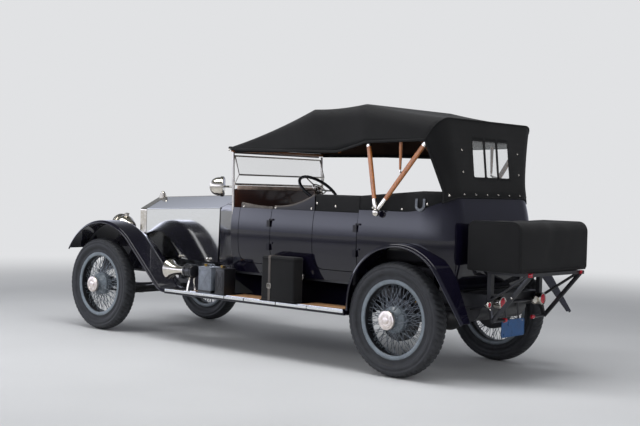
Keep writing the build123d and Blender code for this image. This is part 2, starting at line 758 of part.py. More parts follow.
with BuildPart() as tonneau:
    low, bulge, high, inside = wall_rows(body_half, quarter_top)
    high = (wall_out(tail_top), tail_top)
    with BuildSketch(cross_plane(station(side_back))):
        with BuildLine():
            ThreePointArc(low, bulge, high)
            Polyline(high, (inside, tail_top), (inside, body_bottom), low)
        make_face()
    extrude(amount=quarter_front - side_back)
    with BuildSketch(cross_plane(station(side_back))):
        with BuildLine():
            ThreePointArc(low, bulge, high)
            Polyline(high, (inside, tail_top), (inside, body_bottom), low)
        make_face()
    revolve(axis=Axis((station(side_back), corner_y, 0), (0, 0, 1)), revolution_arc=90)
    with BuildSketch(Plane(origin=(station(side_back) + corner_y, corner_y, 0),
                           x_dir=(-1, 0, 0), z_dir=(0, 1, 0))):
        with BuildLine():
            ThreePointArc(low, bulge, high)
            Polyline(high, (inside, tail_top), (inside, body_bottom), low)
        make_face()
    extrude(amount=-corner_y)
    mirror(about=Plane.XZ)
    add(above_rise(0, quarter_front + 60, tail_top + 60), mode=Mode.SUBTRACT)
    start, middle, meet, end = rear_wing_line(arch_gap)
    for side in (1, -1):
        with BuildSketch(side_plane(side * (wing_inner_rear + 148) + 160)):
            with BuildLine():
                ThreePointArc(start, middle, meet)
                Polyline(meet, end, (end[0], rear_wing_end - 100), (start[0], rear_wing_end - 100), start)
            make_face()
        extrude(amount=320, mode=Mode.SUBTRACT)
    fixed_hinges(door_rows[1][1])
    x, y = hinge_line(door_rows[1][1])
    for z in barrel_heights:
        low = z + barrel_length / 2 + 0.5
        rod((x, -y, low), (x, -y, low + 14), barrel_radius)
        block(x - 34, x, -y, -y + 20, low, low + 14)
        rod((x, -y, z - barrel_length / 2), (x, -y, low + 2), hinge_pin)
save(tonneau.part, "tonneau")

# Padded cloth band standing on the tonneau and on the rear doors
band_out = body_half - 34.0
band_back = tail_top + tail_band
band_low = quarter_top + seat


def band_face(bottom, top):
    """Draw the band's section as a rounded bar."""
    outline([(band_out - band_thick, bottom, 0), (band_out, bottom, 0),
             (band_out, top, band_round), (band_out - band_thick, top, band_round)])


with BuildPart() as hood_band:
    with BuildSketch(cross_plane(station(side_back))):
        with BuildLine():
            band_face(band_low, band_back)
        make_face()
    extrude(amount=door_rows[1][1] - side_back)
    with BuildSketch(cross_plane(station(side_back))):
        with BuildLine():
            band_face(band_low, band_back)
        make_face()
    revolve(axis=Axis((station(side_back), corner_y, 0), (0, 0, 1)), revolution_arc=90)
    with BuildSketch(Plane(origin=(station(side_back) + corner_y, corner_y, 0),
                           x_dir=(-1, 0, 0), z_dir=(0, 1, 0))):
        with BuildLine():
            band_face(band_low, band_back)
        make_face()
    extrude(amount=-corner_y)
    mirror(about=Plane.XZ)
    add(above_rise(seat, quarter_front + 60, band_back + 60), mode=Mode.INTERSECT)
    with BuildSketch(side_plane(body_half + 60)):
        with BuildLine():
            Polyline((station(side_back), band_back), (station(door_rows[1][1]), band_top),
                     (station(door_rows[1][1] + 60), band_top), (station(door_rows[1][1] + 60), band_back + 60),
                     (station(side_back), band_back + 60), close=True)
        make_face()
    extrude(amount=2 * body_half + 120, mode=Mode.SUBTRACT)
save(hood_band.part, "hood_band")

with BuildPart() as door_band_left:
    with BuildSketch(cross_plane(station(door_rows[1][1]) + shut_gap)):
        with BuildLine():
            band_face(body_top + seat, band_top)
        make_face()
    extrude(amount=door_rows[1][2] - door_rows[1][1] - 2 * shut_gap)
save(door_band_left.part, "door_band_left")
save(turned(door_band_left.part), "door_band_right")

# Seats: name, half-width, outline rows of station, height above the floor and corner radius
seat_low = floor_low + floor_thick + seat
seat_rows = [
    ("front_seat", body_half - 130.0, [(1460, 0, 0), (1460, 310, 55), (1075, 275, 20), (1035, 610, 45),
                                       (925, 610, 45), (925, 0, 0)]),
    ("rear_seat", body_half - 190.0, [(360, 0, 0), (360, 320, 55), (-165, 280, 20), (-215, 695, 45),
                                      (-300, 695, 40), (-320, 0, 0)]),
]
for name, half, rows in seat_rows:
    with BuildPart() as bench:
        with BuildSketch(side_plane(half)):
            with BuildLine():
                outline([(station(ahead), seat_low + height, r) for ahead, height, r in rows])
            make_face()
        extrude(amount=2 * half)
    save(bench.part, name)

# Windscreen: leaning posts, rails and the pane frame swung back at its foot
post_x = dash_x + dash_thick / 2
post_top_x = post_x + post_lean
pane_top = (post_top_x, post_top - 30.0)
pane_low = (station(dash_station) - 42.0, post_top - 197.0)
pane_bar = 7.0
with BuildPart() as windscreen_frame:
    for side in (1, -1):
        rod((post_x, side * post_y, post_foot), (post_top_x, side * post_y, post_top), post_radius)
        rod((pane_top[0], side * (post_y - 22), pane_top[1]), (pane_low[0], side * (post_y - 22), pane_low[1]),
            pane_bar)
        rod((pane_low[0], side * (post_y - 22), pane_low[1]), (post_x, side * post_y, dash_top + 40), 5)
    for x, z, radius, reach in ((pane_top[0], pane_top[1], pane_bar, post_y),
                                (pane_low[0], pane_low[1], pane_bar, post_y - 22), (post_x, dash_top + 40, 9, post_y)):
        rod((x, -reach, z), (x, reach, z), radius)
save(windscreen_frame.part, "windscreen_frame")

glass_run = Vector(pane_low[0] - pane_top[0], 0, pane_low[1] - pane_top[1])
glass_half = post_y - 22 - pane_bar - seat
with BuildPart() as windscreen_glass:
    middle = (Vector(pane_top[0], 0, pane_top[1]) + Vector(pane_low[0], 0, pane_low[1])) / 2
    with BuildSketch(Plane(origin=middle, x_dir=(0, 1, 0), z_dir=glass_run.cross(Vector(0, 1, 0)))):
        Rectangle(2 * glass_half, glass_run.length - 2 * pane_bar - 2 * seat)
    extrude(amount=2.5, both=True)
save(windscreen_glass.part, "windscreen_glass")

# Steering column down to the floor, and the wheel on its top end
column_turn = math.radians(column_angle)
column_dir = Vector(math.cos(column_turn), 0, -math.sin(column_turn))
column_top = Vector(station(column_top_station), column_y, column_top_z)
column_run = (column_top_z - seat_low - 14) / math.sin(column_turn)
column_foot = column_top + column_dir * column_run
stub_radius = 9.0
with BuildPart() as steering_column:
    head = column_top + column_dir * 30
    rod(head, column_foot, column_radius)
    rod(column_top - column_dir * 26, head + column_dir * 5, stub_radius)
    block(column_foot.X - 60, column_foot.X + 60, column_y - 50, column_y + 50, seat_low, seat_low + 40)
save(steering_column.part, "steering_column")

with BuildPart() as steering_wheel:
    with Locations(Location(Plane(origin=column_top, x_dir=(0, 1, 0), z_dir=-column_dir))):
        Torus(steering_radius, steering_rim)
        Cylinder(32, 44)
        with PolarLocations(0, 4):
            with Locations((steering_radius / 2, 0, 0)):
                Box(steering_radius, 22, 9)
        Cylinder(stub_radius + turn_fit, 60, mode=Mode.SUBTRACT)
save(steering_wheel.part, "steering_wheel")

# Hood cloth over the bows
pivot = Vector(station(hood_pivot_station), 0, hood_pivot_z)
hood_foot_half = band_out - band_round
hood_foot_reach = hood_pivot_station - side_back + hood_foot_half - corner_y
foot_row = (180.0, hood_foot_reach, hood_foot_half, hood_foot_corner,
            hood_foot_reach - hood_foot_corner - hood_foot_side, 0.0)


def bow_plane(angle, height):
    """Return a bow's plane at an angle above forward: local x is Y, local y leads outward."""
    turn = math.radians(angle)
    outward = Vector(math.cos(turn), 0, math.sin(turn))
    return Plane(origin=(pivot.X, 0, height), x_dir=(0, 1, 0), z_dir=Vector(0, 1, 0).cross(outward))


def hoop(row, outer_in, inner_in, hem):
    """Draw a bow's hoop between two depths below its outer line."""
    angle, reach, half, corner = row[:4]
    a, b = outer_in, inner_in
    outline([(-half + a, hem, 0), (-half + a, reach - a, corner - a), (half - a, reach - a, corner - a),
             (half - a, hem, 0), (half - b, hem, 0), (half - b, reach - b, corner - b),
             (-half + b, reach - b, corner - b), (-half + b, hem, 0)])


def hood_shell(outer_in, inner_in):
    """Return the cloth between two depths below the bows' outer line."""
    with BuildPart() as shell:
        for row in bow_rows + [foot_row]:
            with BuildSketch(bow_plane(row[0], band_back + seat if row is foot_row else hood_pivot_z)):
                with BuildLine():
                    hoop(row, outer_in, inner_in, row[4])
                make_face()
        loft(ruled=True)
    return shell.part


# Rear lights in the hood: distance from the centre, half-width, foot and head heights
light_rows = [(-178.0, 80.0), (0.0, 80.0), (178.0, 80.0)]
light_low = body_top + 305.0
light_high = body_top + 597.0


def light_cutter(margin):
    """Return the three blocks that cut the rear lights."""
    with BuildPart() as cutter:
        for y, half in light_rows:
            with BuildSketch(Plane(origin=(station(-640), 0, 0), x_dir=(0, 1, 0), z_dir=(1, 0, 0))):
                with BuildLine():
                    outline([(y - half + margin, light_low + margin, 18), (y + half - margin, light_low + margin, 18),
                             (y + half - margin, light_high - margin, 18), (y - half + margin, light_high - margin, 18)])
                make_face()
            extrude(amount=500)
    return cutter.part


# The quarter's front edge leans back from the last bow's hem to the band
hem_turn = math.radians(bow_rows[-1][0])
hem_x = pivot.X + bow_rows[-1][4] * math.cos(hem_turn)
hem_z = hood_pivot_z + bow_rows[-1][4] * math.sin(hem_turn)
with BuildPart() as hood_cover:
    add(hood_shell(0, cloth))
    with BuildSketch(side_plane(body_half + 60)):
        with BuildLine():
            Polyline((hem_x, hem_z), (station(hood_quarter_foot), band_back + seat),
                     (station(hood_quarter_foot), band_back - 20), (hem_x + 60, band_back - 20), (hem_x + 60, hem_z),
                     close=True)
        make_face()
    extrude(amount=2 * body_half + 120, mode=Mode.SUBTRACT)
    add(light_cutter(0), mode=Mode.SUBTRACT)
save(hood_cover.part, "hood_cover")

with BuildPart() as hood_lights:
    add(hood_shell(cloth * 0.3, cloth * 0.7))
    add(light_cutter(seat), mode=Mode.INTERSECT)
save(hood_lights.part, "hood_lights")

# Hood frame: wooden bows under the cloth, side sticks from the pivots, front rail and links
bow_depth = 34.0
bow_width = 26.0
link_size = 14.0


def bow_point(row, distance, y):
    """Return the point on a bow's side at a distance from the pivot line."""
    turn = math.radians(row[0])
    return Vector(pivot.X + distance * math.cos(turn), y, hood_pivot_z + distance * math.sin(turn))


def bar(start, end, width, thick):
    """Put a flat bar between two points, its width in the upright plane along the car."""
    run = end - start
    with Locations(Location(Plane(origin=(start + end) / 2, x_dir=run.cross(Vector(0, 1, 0)), z_dir=run))):
        Box(width, thick, run.length)


boss_in = wall_out(hood_pivot_z - pivot_boss) + seat
with BuildPart() as hood_frame:
    for row in bow_rows[1:]:
        with BuildSketch(bow_plane(row[0], hood_pivot_z)):
            with BuildLine():
                hoop(row, cloth + row[5], cloth + row[5] + bow_depth, row[4])
            make_face()
        extrude(amount=bow_width / 2, both=True)
    front, second, third, fourth = bow_rows
    rail_in = cloth + front[5]
    rail_sink = 14.0
    with Locations(Location(bow_plane(front[0], hood_pivot_z))):
        with Locations((0, front[1] - rail_in - 20, rail_sink)):
            Box(2 * (front[2] - rail_in), 30, bow_width)
    for side in (1, -1):
        rod((pivot.X, side * boss_in, hood_pivot_z), (pivot.X, side * (boss_in + 30), hood_pivot_z), pivot_boss)
        for row in (third, fourth):
            y = side * (row[2] - cloth - row[5] - bow_depth / 2)
            bar(bow_point(row, 0, side * (boss_in + 16)), bow_point(row, row[4] + 40, y), stick_width, stick_thick)
        y2 = side * (second[2] - cloth - second[5] - bow_depth / 2)
        y3 = side * (third[2] - cloth - third[5] - bow_depth / 2)
        y1 = side * (front[2] - rail_in - 10)
        bar(bow_point(third, third[4] + 20, y3), bow_point(second, second[4] + 20, y2), 2 * link_size, link_size)
        bar(bow_point(second, second[4] + 20, y2), bow_point(front, front[1] - rail_in - 20, y1) - Vector(0, 0, rail_sink),
            2 * link_size, link_size)
save(hood_frame.part, "hood_frame")

# Front wing: sheet along its line, bead on the edge and apron down to the rail
front_arch_x = front_axle_x - front_wing_back
front_turn = math.radians(front_wing_tail)
tip_turn = math.radians(front_wing_tip)
foot_radius = 170.0


def front_wing_line(offset):
    """Return the front wing's line points, moved inward by an offset: arc, tail and the foot's arc."""
    radius = front_wing_radius - offset
    turn = math.pi / 2 + front_turn

    def around(angle):
        return (front_arch_x + radius * math.cos(angle), front_wing_z + radius * math.sin(angle))

    return around(tip_turn), around((tip_turn + turn) / 2), around(turn)


tip, crest, meet = front_wing_line(0)
bend_run = foot_radius * math.tan(front_turn / 2)
slope_run = (meet[1] - board_top) / math.sin(front_turn)
foot_corner = (meet[0] - slope_run * math.cos(front_turn), board_top)
slope_end = (foot_corner[0] + bend_run * math.cos(front_turn), board_top + bend_run * math.sin(front_turn))
foot_start = (foot_corner[0] - bend_run, board_top)
foot_centre = (foot_start[0], board_top + foot_radius)
half_turn = front_turn / 2
foot_mid = (foot_centre[0] + foot_radius * math.sin(half_turn), foot_centre[1] - foot_radius * math.cos(half_turn))
with BuildPart() as front_wing:
    with BuildLine(side_plane(0)) as front_line:
        ThreePointArc(tip, crest, meet)
        Line(meet, slope_end)
        ThreePointArc(slope_end, foot_mid, foot_start)
    with BuildSketch(Plane(origin=front_line.line @ 0, x_dir=(0, 1, 0), z_dir=front_line.line % 0)):
        with BuildLine():
            inner_y = frame_half + seat + sheet
            outline([(wing_half, 26, 0), (wing_half - 12, 6, 12), (wing_half - 230, 4, 80), (inner_y, 112, 0),
                     (inner_y, 118, 0), (wing_half - 232, 9, 76), (wing_half - 15, 11, 8), (wing_half - 5, 26, 0)])
        make_face()
        with Locations((wing_half - bead_radius / 2, 28)):
            Circle(bead_radius)
    sweep(path=front_line.line)
    reach = front_wing_radius - 114
    first = math.asin((apron_bottom - front_wing_z) / reach)
    last = math.pi / 2 + front_turn
    apron_a = (front_arch_x + reach * math.cos(first), apron_bottom)
    apron_m = (front_arch_x + reach * math.cos((first + last) / 2), front_wing_z + reach * math.sin((first + last) / 2))
    apron_b = (front_arch_x + reach * math.cos(last), front_wing_z + reach * math.sin(last))
    apron_run = (apron_b[1] - apron_bottom) / math.tan(front_turn)
    with BuildSketch(side_plane(frame_half + seat + sheet + 2)):
        with BuildLine():
            ThreePointArc(apron_a, apron_m, apron_b)
            Polyline(apron_b, (apron_b[0] - apron_run, apron_bottom), apron_a)
        make_face()
    extrude(amount=sheet + 2)
with BuildPart() as front_wings:
    add(front_wing.part)
    add(turned(front_wing.part))
save(front_wings.part, "front_wings")

# Rear wing: sheet along its line from the running board to the tail, bead on the edge
start, middle, meet, end = rear_wing_line(0)
with BuildPart() as rear_wing:
    with BuildLine(side_plane(0)) as rear_line:
        Line((start[0], board_top + seat), start)
        ThreePointArc(start, middle, meet)
        Line(meet, end)
    with BuildSketch(Plane(origin=rear_line.line @ 0, x_dir=(0, 1, 0), z_dir=rear_line.line % 0)):
        with BuildLine():
            outline([(wing_half, 26, 0), (wing_half - 12, 4, 12), (wing_inner_rear, 0, 0),
                     (wing_inner_rear, 4.5, 0), (wing_half - 15, 9, 8), (wing_half - 5, 26, 0)])
        make_face()
        with Locations((wing_half - bead_radius / 2, 28)):
            Circle(bead_radius)
    sweep(path=rear_line.line)
    with BuildSketch(Plane.XY):
        with BuildLine():
            Polyline((meet[0], wing_inner_rear - 10), (end[0] - 20, wing_half - wing_tip), (end[0] - 80, wing_half - wing_tip),
                     (end[0] - 80, wing_inner_rear - 10), close=True)
        make_face()
    extrude(amount=body_top, mode=Mode.SUBTRACT)
with BuildPart() as rear_wings:
    add(rear_wing.part)
    add(turned(rear_wing.part))
save(rear_wings.part, "rear_wings")

# Running boards with the valance up to the rail
board_back_x = start[0] + 2.0
board_front_x = foot_start[0] - seat
with BuildPart() as running_boards:
    for side in (1, -1):
        y0 = frame_half + seat
        with BuildSketch(cross_plane(board_back_x)):
            with BuildLine():
                outline([(side * y0, board_top - board_thick, 0), (side * wing_half, board_top - board_thick, 8),
                         (side * wing_half, board_top, 8), (side * (y0 + 150), board_top, 40),
                         (side * (y0 + 6), rail_top - 5, 0), (side * y0, rail_top - 5, 0)])
            make_face()
        extrude(amount=board_front_x - board_back_x)
save(running_boards.part, "running_boards")

# Headlamps on upright stalks from the rails: drum, dished rim and glass
lamp_x = front_axle_x + lamp_ahead
with BuildPart() as headlamps:
    for side in (1, -1):
        with BuildSketch(side_plane(side * lamp_y)):
            with BuildLine():
                outline([(lamp_x - 120, lamp_z, 0), (lamp_x - 120, lamp_z + 50, 30),
                         (lamp_x - 20, lamp_z + lamp_radius - 8, 40), (lamp_x + 50, lamp_z + lamp_radius - 8, 0),
                         (lamp_x + 50, lamp_z + lamp_radius, 4), (lamp_x + 74, lamp_z + lamp_radius, 4),
                         (lamp_x + 74, lamp_z + lamp_radius - 14, 0), (lamp_x + 92, lamp_z, 0)])
            make_face()
        revolve(axis=Axis((lamp_x, side * lamp_y, lamp_z), (1, 0, 0)))
        rod((lamp_x, side * rail_mid_y, rail_top + 10), (lamp_x, side * lamp_y, lamp_z - 60), 13)
        rod((lamp_x, side * rail_mid_y, rail_top + seat), (lamp_x, side * rail_mid_y, rail_top + 22), 24)
save(headlamps.part, "headlamps")

# Spot lamp on the left windscreen post
spot_z = dash_top + 16.0
spot_y = post_y + 12.0
with BuildPart() as spot_lamp:
    with BuildSketch(side_plane(spot_y)):
        with BuildLine():
            x = station(2065)
            outline([(x - 6, spot_z, 0), (x - 6, spot_z + 92, 4), (x + 16, spot_z + 92, 4),
                     (x + 16, spot_z + 62, 0), (x + 80, spot_z + 62, 10), (x + 140, spot_z + 20, 15),
                     (x + 140, spot_z, 0)])
        make_face()
    revolve(axis=Axis((x, spot_y, spot_z), (1, 0, 0)))
    post_here = post_x + post_lean * (spot_z - post_foot) / (post_top - post_foot)
    block(post_here + post_radius + seat, x, post_y - 8, post_y + 8, spot_z - 8, spot_z + 8)
save(spot_lamp.part, "spot_lamp")

# Horn on the left running board
horn_z = board_top + 180.0
horn_y = wing_half - 65.0
with BuildPart() as horn:
    with BuildSketch(side_plane(horn_y)):
        with BuildLine():
            x = station(2290)
            outline([(x, horn_z, 0), (x, horn_z + 58, 16), (x + 105, horn_z + 58, 12), (x + 120, horn_z + 26, 0),
                     (x + 250, horn_z + 34, 60), (x + 330, horn_z + 88, 0), (x + 336, horn_z + 88, 0),
                     (x + 255, horn_z + 20, 0), (x + 255, horn_z, 0)])
        make_face()
    revolve(axis=Axis((x, horn_y, horn_z), (1, 0, 0)))
    block(x + 30, x + 90, horn_y - 28, horn_y + 28, board_top + seat, horn_z)
save(horn.part, "horn")

# Two square cans on the left running board
with BuildPart() as cans:
    for back, length, depth in can_rows:
        x = station(back) + length / 2
        y = wing_half - 8 - depth / 2
        with Locations((x, y, board_top + seat + can_height / 2 - 12)):
            Box(length, depth, can_height - 24)
        with Locations((x + length / 4, y, board_top + seat + can_height - 24)):
            Cylinder(22, 24, align=(Align.CENTER, Align.CENTER, Align.MIN))
        with Locations((x - length / 8, y, board_top + seat + can_height - 24)):
            Box(length / 3, 12, 20, align=(Align.CENTER, Align.CENTER, Align.MIN))
    fillet(cans.part.edges().filter_by(Axis.Z).filter_by(lambda e: e.length > 100), 12)
save(cans.part, "cans")

# Tool trunk on the left running board, lid edge standing proud
with BuildPart() as tool_trunk:
    x0 = station(tool_trunk_back)
    y1 = wing_half + 6
    z0 = board_top + seat
    block(x0, x0 + tool_trunk_length, y1 - tool_trunk_depth, y1, z0, z0 + tool_trunk_height)
    fillet(tool_trunk.part.edges(), 14)
    block(x0 - 3, x0 + tool_trunk_length + 3, y1 - tool_trunk_depth - 3, y1 + 3,
          z0 + tool_trunk_height - 70, z0 + tool_trunk_height - 58)
save(tool_trunk.part, "tool_trunk")

# Luggage rack behind the body: side bars, slats, struts and struts' feet on the frame's tail
rack_top = trunk_bottom - seat
with BuildPart() as luggage_rack:
    for side in (1, -1):
        block(station(-rear_reach), tail_x - 10, side * rack_half - rack_bar / 2, side * rack_half + rack_bar / 2,
              rack_top - rack_bar, rack_top)
        block(tail_x - 34, tail_x - seat, side * rail_mid_y - 22, side * rail_mid_y + 22, rail_bottom + 20, rack_top)
        rod((station(-rear_reach + 40), side * rack_half, rack_top - 14),
            (tail_x - 20, side * rack_half, rail_bottom + 50), 11)
    for share in (0.06, 0.35, 0.64, 0.93):
        x = station(-rear_reach) + share * (rear_reach - rail_tail)
        block(x, x + rack_bar, -rack_half, rack_half, rack_top - rack_bar, rack_top)
save(luggage_rack.part, "luggage_rack")

# Rear trunk on the rack
with BuildPart() as rear_trunk:
    with BuildSketch(side_plane(trunk_half)):
        with BuildLine():
            outline([(station(trunk_back), trunk_bottom, 30), (station(trunk_front), trunk_bottom, 20),
                     (station(trunk_front), trunk_top, 60), (station(trunk_back), trunk_top, 75)])
        make_face()
    extrude(amount=2 * trunk_half)
    fillet(rear_trunk.part.faces().filter_by(Axis.Y).edges(), 18)
save(rear_trunk.part, "rear_trunk")

# Tail lamps on the frame's tail
tail_lamp_z = rail_bottom + 42.0
with BuildPart() as tail_lamps:
    for side in (1, -1):
        y = side * (rail_mid_y - 60)
        rod((tail_x - seat, y, tail_lamp_z), (tail_x - 40, y, tail_lamp_z), 14)
        rod((tail_x - 34, y, tail_lamp_z), (tail_x - 88, y, tail_lamp_z), 46)
save(tail_lamps.part, "tail_lamps")

# Wire wheel: hub, rim and two rows of laced spokes
# Spoke rows: count, hub radius, hub offset outward, rim offset outward, lacing angle
spoke_rows = [(24, 58.0, 104.0, 10.0, 26.0), (36, 84.0, 6.0, -12.0, 30.0)]
rim_inner = rim_radius - rim_depth


def wheel_shape(drum):
    """Return a left wheel about its own centre, with a brake drum inboard if asked."""
    with BuildPart() as wheel:
        with BuildSketch(Plane.YZ):
            with BuildLine():
                outline([(-hub_inner, 0, 0), (-hub_inner, hub_flange_radius, 8), (8, hub_flange_radius, 14),
                         (34, hub_radius + 22, 20), (96, hub_radius + 12, 14), (112, cap_radius, 6),
                         (hub_outer - 18, cap_radius, 8), (hub_outer - 8, cap_radius - 24, 4),
                         (hub_outer, cap_radius - 26, 4), (hub_outer, 0, 0)])
            make_face()
            with BuildLine():
                w = rim_width / 2
                f = w + flange_width
                top = rim_radius + flange_height
                outline([(-f, top, 2), (-w, top, 2), (-w, rim_radius, 0), (w, rim_radius, 0), (w, top, 2),
                         (f, top, 2), (f, rim_radius - 4, 6), (w - 24, rim_inner, 20), (-w + 24, rim_inner, 20),
                         (-f, rim_radius - 4, 6)])
            make_face()
        revolve(axis=Axis.Y)
        for count, hub_r, hub_y, rim_y, lace in spoke_rows:
            places = []
            for i in range(count):
                a = math.radians(360.0 * i / count)
                b = a + math.radians(lace if i % 2 == 0 else -lace)
                foot = Vector(hub_r * math.cos(a), hub_y, hub_r * math.sin(a))
                head = Vector((rim_inner + 4) * math.cos(b), rim_y, (rim_inner + 4) * math.sin(b))
                places.append(Location(Plane(origin=(head + foot) / 2, z_dir=head - foot)))
            with Locations(*places):
                Box(spoke_size, spoke_size, (head - foot).length)
        if drum:
            with Locations(Location(Plane(origin=(0, -hub_inner - drum_width / 2 + 1, 0), z_dir=(0, 1, 0)))):
                Cylinder(drum_radius, drum_width)
        bore_from = -hub_inner - drum_width - 5
        bore_to = spindle_end - wheel_y + 4
        rod((0, bore_from, 0), (0, bore_to, 0), spindle_radius + turn_fit, mode=Mode.SUBTRACT)
    return wheel.part


front_wheel = wheel_shape(False)
rear_wheel = wheel_shape(True)

# Tyre: rounded section with straight beads on the rim
with BuildPart() as tyre:
    with BuildSketch(Plane.YZ):
        with BuildLine():
            half = tyre_width / 2
            crown = tyre_diameter / 2
            bead = rim_width / 2 - seat
            root = rim_radius + flange_height + 4
            waist = (rim_radius + crown) / 2 - 8
            tread = half - 12
            edge = crown - 16
            for side in (1, -1):
                Polyline((0, rim_radius + seat), (side * bead, rim_radius + seat), (side * bead, root))
                ThreePointArc((side * bead, root), (side * half, waist), (side * tread, edge))
            ThreePointArc((tread, edge), (0, crown), (-tread, edge))
        make_face()
    revolve(axis=Axis.Y)

# Wheel places: name, x, side
wheel_rows = [("front_left", front_axle_x, 1), ("front_right", front_axle_x, -1),
              ("rear_left", rear_axle_x, 1), ("rear_right", rear_axle_x, -1)]
for name, x, side in wheel_rows:
    shape = front_wheel if name.startswith("front") else rear_wheel
    place = Location((x, wheel_y, axle_z))
    wheel_part = place * shape
    tyre_part = place * tyre.part
    if side < 0:
        wheel_part = turned(wheel_part)
        tyre_part = turned(tyre_part)
    save(wheel_part, "wheel_" + name)
    save(tyre_part, "tyre_" + name)
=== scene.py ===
"""Looks of an open touring car of about 1914: coachwork finishes, wire wheels, hood, seats, lamps and fittings.

Lengths are in metres. X runs forward, Y to the car's left, Z up, as in the frame that is loaded first.
"""
import math

import bmesh
import bpy
import numpy as np
from bpy.props import FloatProperty, FloatVectorProperty, IntProperty, PointerProperty
from bpy.types import Operator, Panel, PropertyGroup
from mathutils import Matrix, Vector


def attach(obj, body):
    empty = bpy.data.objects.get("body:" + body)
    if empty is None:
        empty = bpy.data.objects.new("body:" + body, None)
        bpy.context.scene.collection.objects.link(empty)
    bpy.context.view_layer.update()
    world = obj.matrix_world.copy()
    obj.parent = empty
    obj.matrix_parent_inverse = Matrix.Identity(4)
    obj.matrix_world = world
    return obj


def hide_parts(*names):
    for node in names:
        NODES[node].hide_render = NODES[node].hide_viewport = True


bl_info = {
    "name": "Open touring car",
    "version": (1, 0, 0),
    "blender": (4, 5, 0),
    "location": "View3D > Sidebar > Touring car",
    "description": "Dresses the frame of an open touring car with finishes, wheels, hood, seats and fittings",
    "category": "Object",
}

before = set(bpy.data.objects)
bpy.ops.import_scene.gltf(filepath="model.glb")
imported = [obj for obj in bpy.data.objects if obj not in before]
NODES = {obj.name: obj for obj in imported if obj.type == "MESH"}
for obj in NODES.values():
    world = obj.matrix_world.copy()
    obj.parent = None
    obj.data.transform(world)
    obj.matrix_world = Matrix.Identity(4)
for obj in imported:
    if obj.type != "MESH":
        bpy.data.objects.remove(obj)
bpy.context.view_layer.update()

# Places taken from the frame: rear axle, front axle and wheel centres
REAR_X = -1.575
FRONT_X = 2.070
WHEEL_Y = 0.711
AXLE_Z = 0.4475
SIDES = (("left", 1.0), ("right", -1.0))
AHEAD, BACK = (1.0, 0.0, 0.0), (-1.0, 0.0, 0.0)
LEFT, UP = (0.0, 1.0, 0.0), (0.0, 0.0, 1.0)
STUD_RADIUS = 0.0095
# Metres between the bands of a wave texture whose scale is 1
WAVE_PITCH = 0.32


def linear(code):
    """Turn an sRGB hex colour into linear red, green and blue."""
    values = np.array([int(code[i:i + 2], 16) for i in (1, 3, 5)]) / 255.0
    return tuple(np.where(values <= 0.04045, values / 12.92, ((values + 0.055) / 1.055) ** 2.4))


def station(ahead):
    """Give the x of a place a distance ahead of the rear axle."""
    return REAR_X + ahead


def colour(label, words, code):
    """Give a colour property whose default is a hex colour."""
    return FloatVectorProperty(name=label, description=words, default=linear(code), subtype="COLOR",
                               size=3, min=0.0, max=1.0)


def length(label, words, value):
    """Give a length property in metres."""
    return FloatProperty(name=label, description=words, default=value, min=0.0, unit="LENGTH")


class CarFinish(PropertyGroup):
    """Colours of the finishes."""

    lacquer: colour("Lacquer", "Coach lacquer on body and wings", "#0c0a18")
    enamel: colour("Enamel", "Black enamel on the chassis", "#0d0d10")
    bonnet: colour("Bonnet", "Polished aluminium of the bonnet", "#eceded")
    nickel: colour("Nickel", "Nickel plate on lamps and fittings", "#e0dacf")
    cloth: colour("Hood cloth", "Black cotton duck of the hood", "#151516")
    lining: colour("Lining", "Brown inside of the hood cloth", "#43332b")
    ash: colour("Ash", "Varnished ash of the hood sticks", "#a9672f")
    mahogany: colour("Mahogany", "Varnished mahogany of the dashboard", "#4b2616")
    hide: colour("Hide", "Leather of seats and coaming", "#17161a")
    tyre: colour("Tyre", "Grey-black rubber of the tyres", "#2c2d30")
    wheel: colour("Wheel", "Blue-grey wheel enamel", "#6e777f")
    mat: colour("Mat", "Tan running-board mat", "#8d6a48")
    can: colour("Can", "Grey enamel of the cans", "#6f757f")
    lens: colour("Lens", "Red glass of the tail lamps", "#a80f22")
    plate: colour("Plate", "Blue enamel of the bare number plate", "#0d4a80")


class CarSizes(PropertyGroup):
    """Sizes of the pieces that are made here."""

    spoke_pairs: IntProperty(name="Spoke pairs", description="Crossed pairs in each row of spokes", default=20, min=6)
    spoke_radius: length("Spoke radius", "Radius of a spoke's shank", 0.0024)
    tread_depth: length("Tread depth", "Depth of the grooves in the tread", 0.006)
    hood_sag: length("Hood sag", "How far the cloth sinks between two bows", 0.012)
    stud: length("Stud", "Radius of a hood stud", STUD_RADIUS)
    swell: length("Swell", "How far a cushion may swell", 0.022)


def add(tree, kind, settings=None, inputs=None):
    """Add one node; settings are its own values, inputs are values or (node, output) links."""
    made = tree.nodes.new(kind)
    for key, value in (settings or {}).items():
        setattr(made, key, value)
    for key, value in (inputs or {}).items():
        if isinstance(value, tuple) and isinstance(value[0], bpy.types.Node):
            tree.links.new(value[0].outputs[value[1]], made.inputs[key])
        else:
            made.inputs[key].default_value = value
    return made


def begin(name, **sockets):
    """Start a material with a Principled shader and object coordinates; give material, tree, shader, place."""
    material = bpy.data.materials.new(name)
    material.use_nodes = True
    tree = material.node_tree
    tree.nodes.clear()
    shader = add(tree, "ShaderNodeBsdfPrincipled", None, sockets)
    add(tree, "ShaderNodeOutputMaterial", None, {"Surface": (shader, "BSDF")})
    place = add(tree, "ShaderNodeTexCoord")
    return material, tree, shader, place


def rgba(value):
    """Give four channels from three."""
    return (*value[:3], 1.0)


def shade(value, factor):
    """Give a colour made lighter or darker by a factor."""
    return tuple(min(1.0, c * factor) for c in value[:3]) + (1.0,)


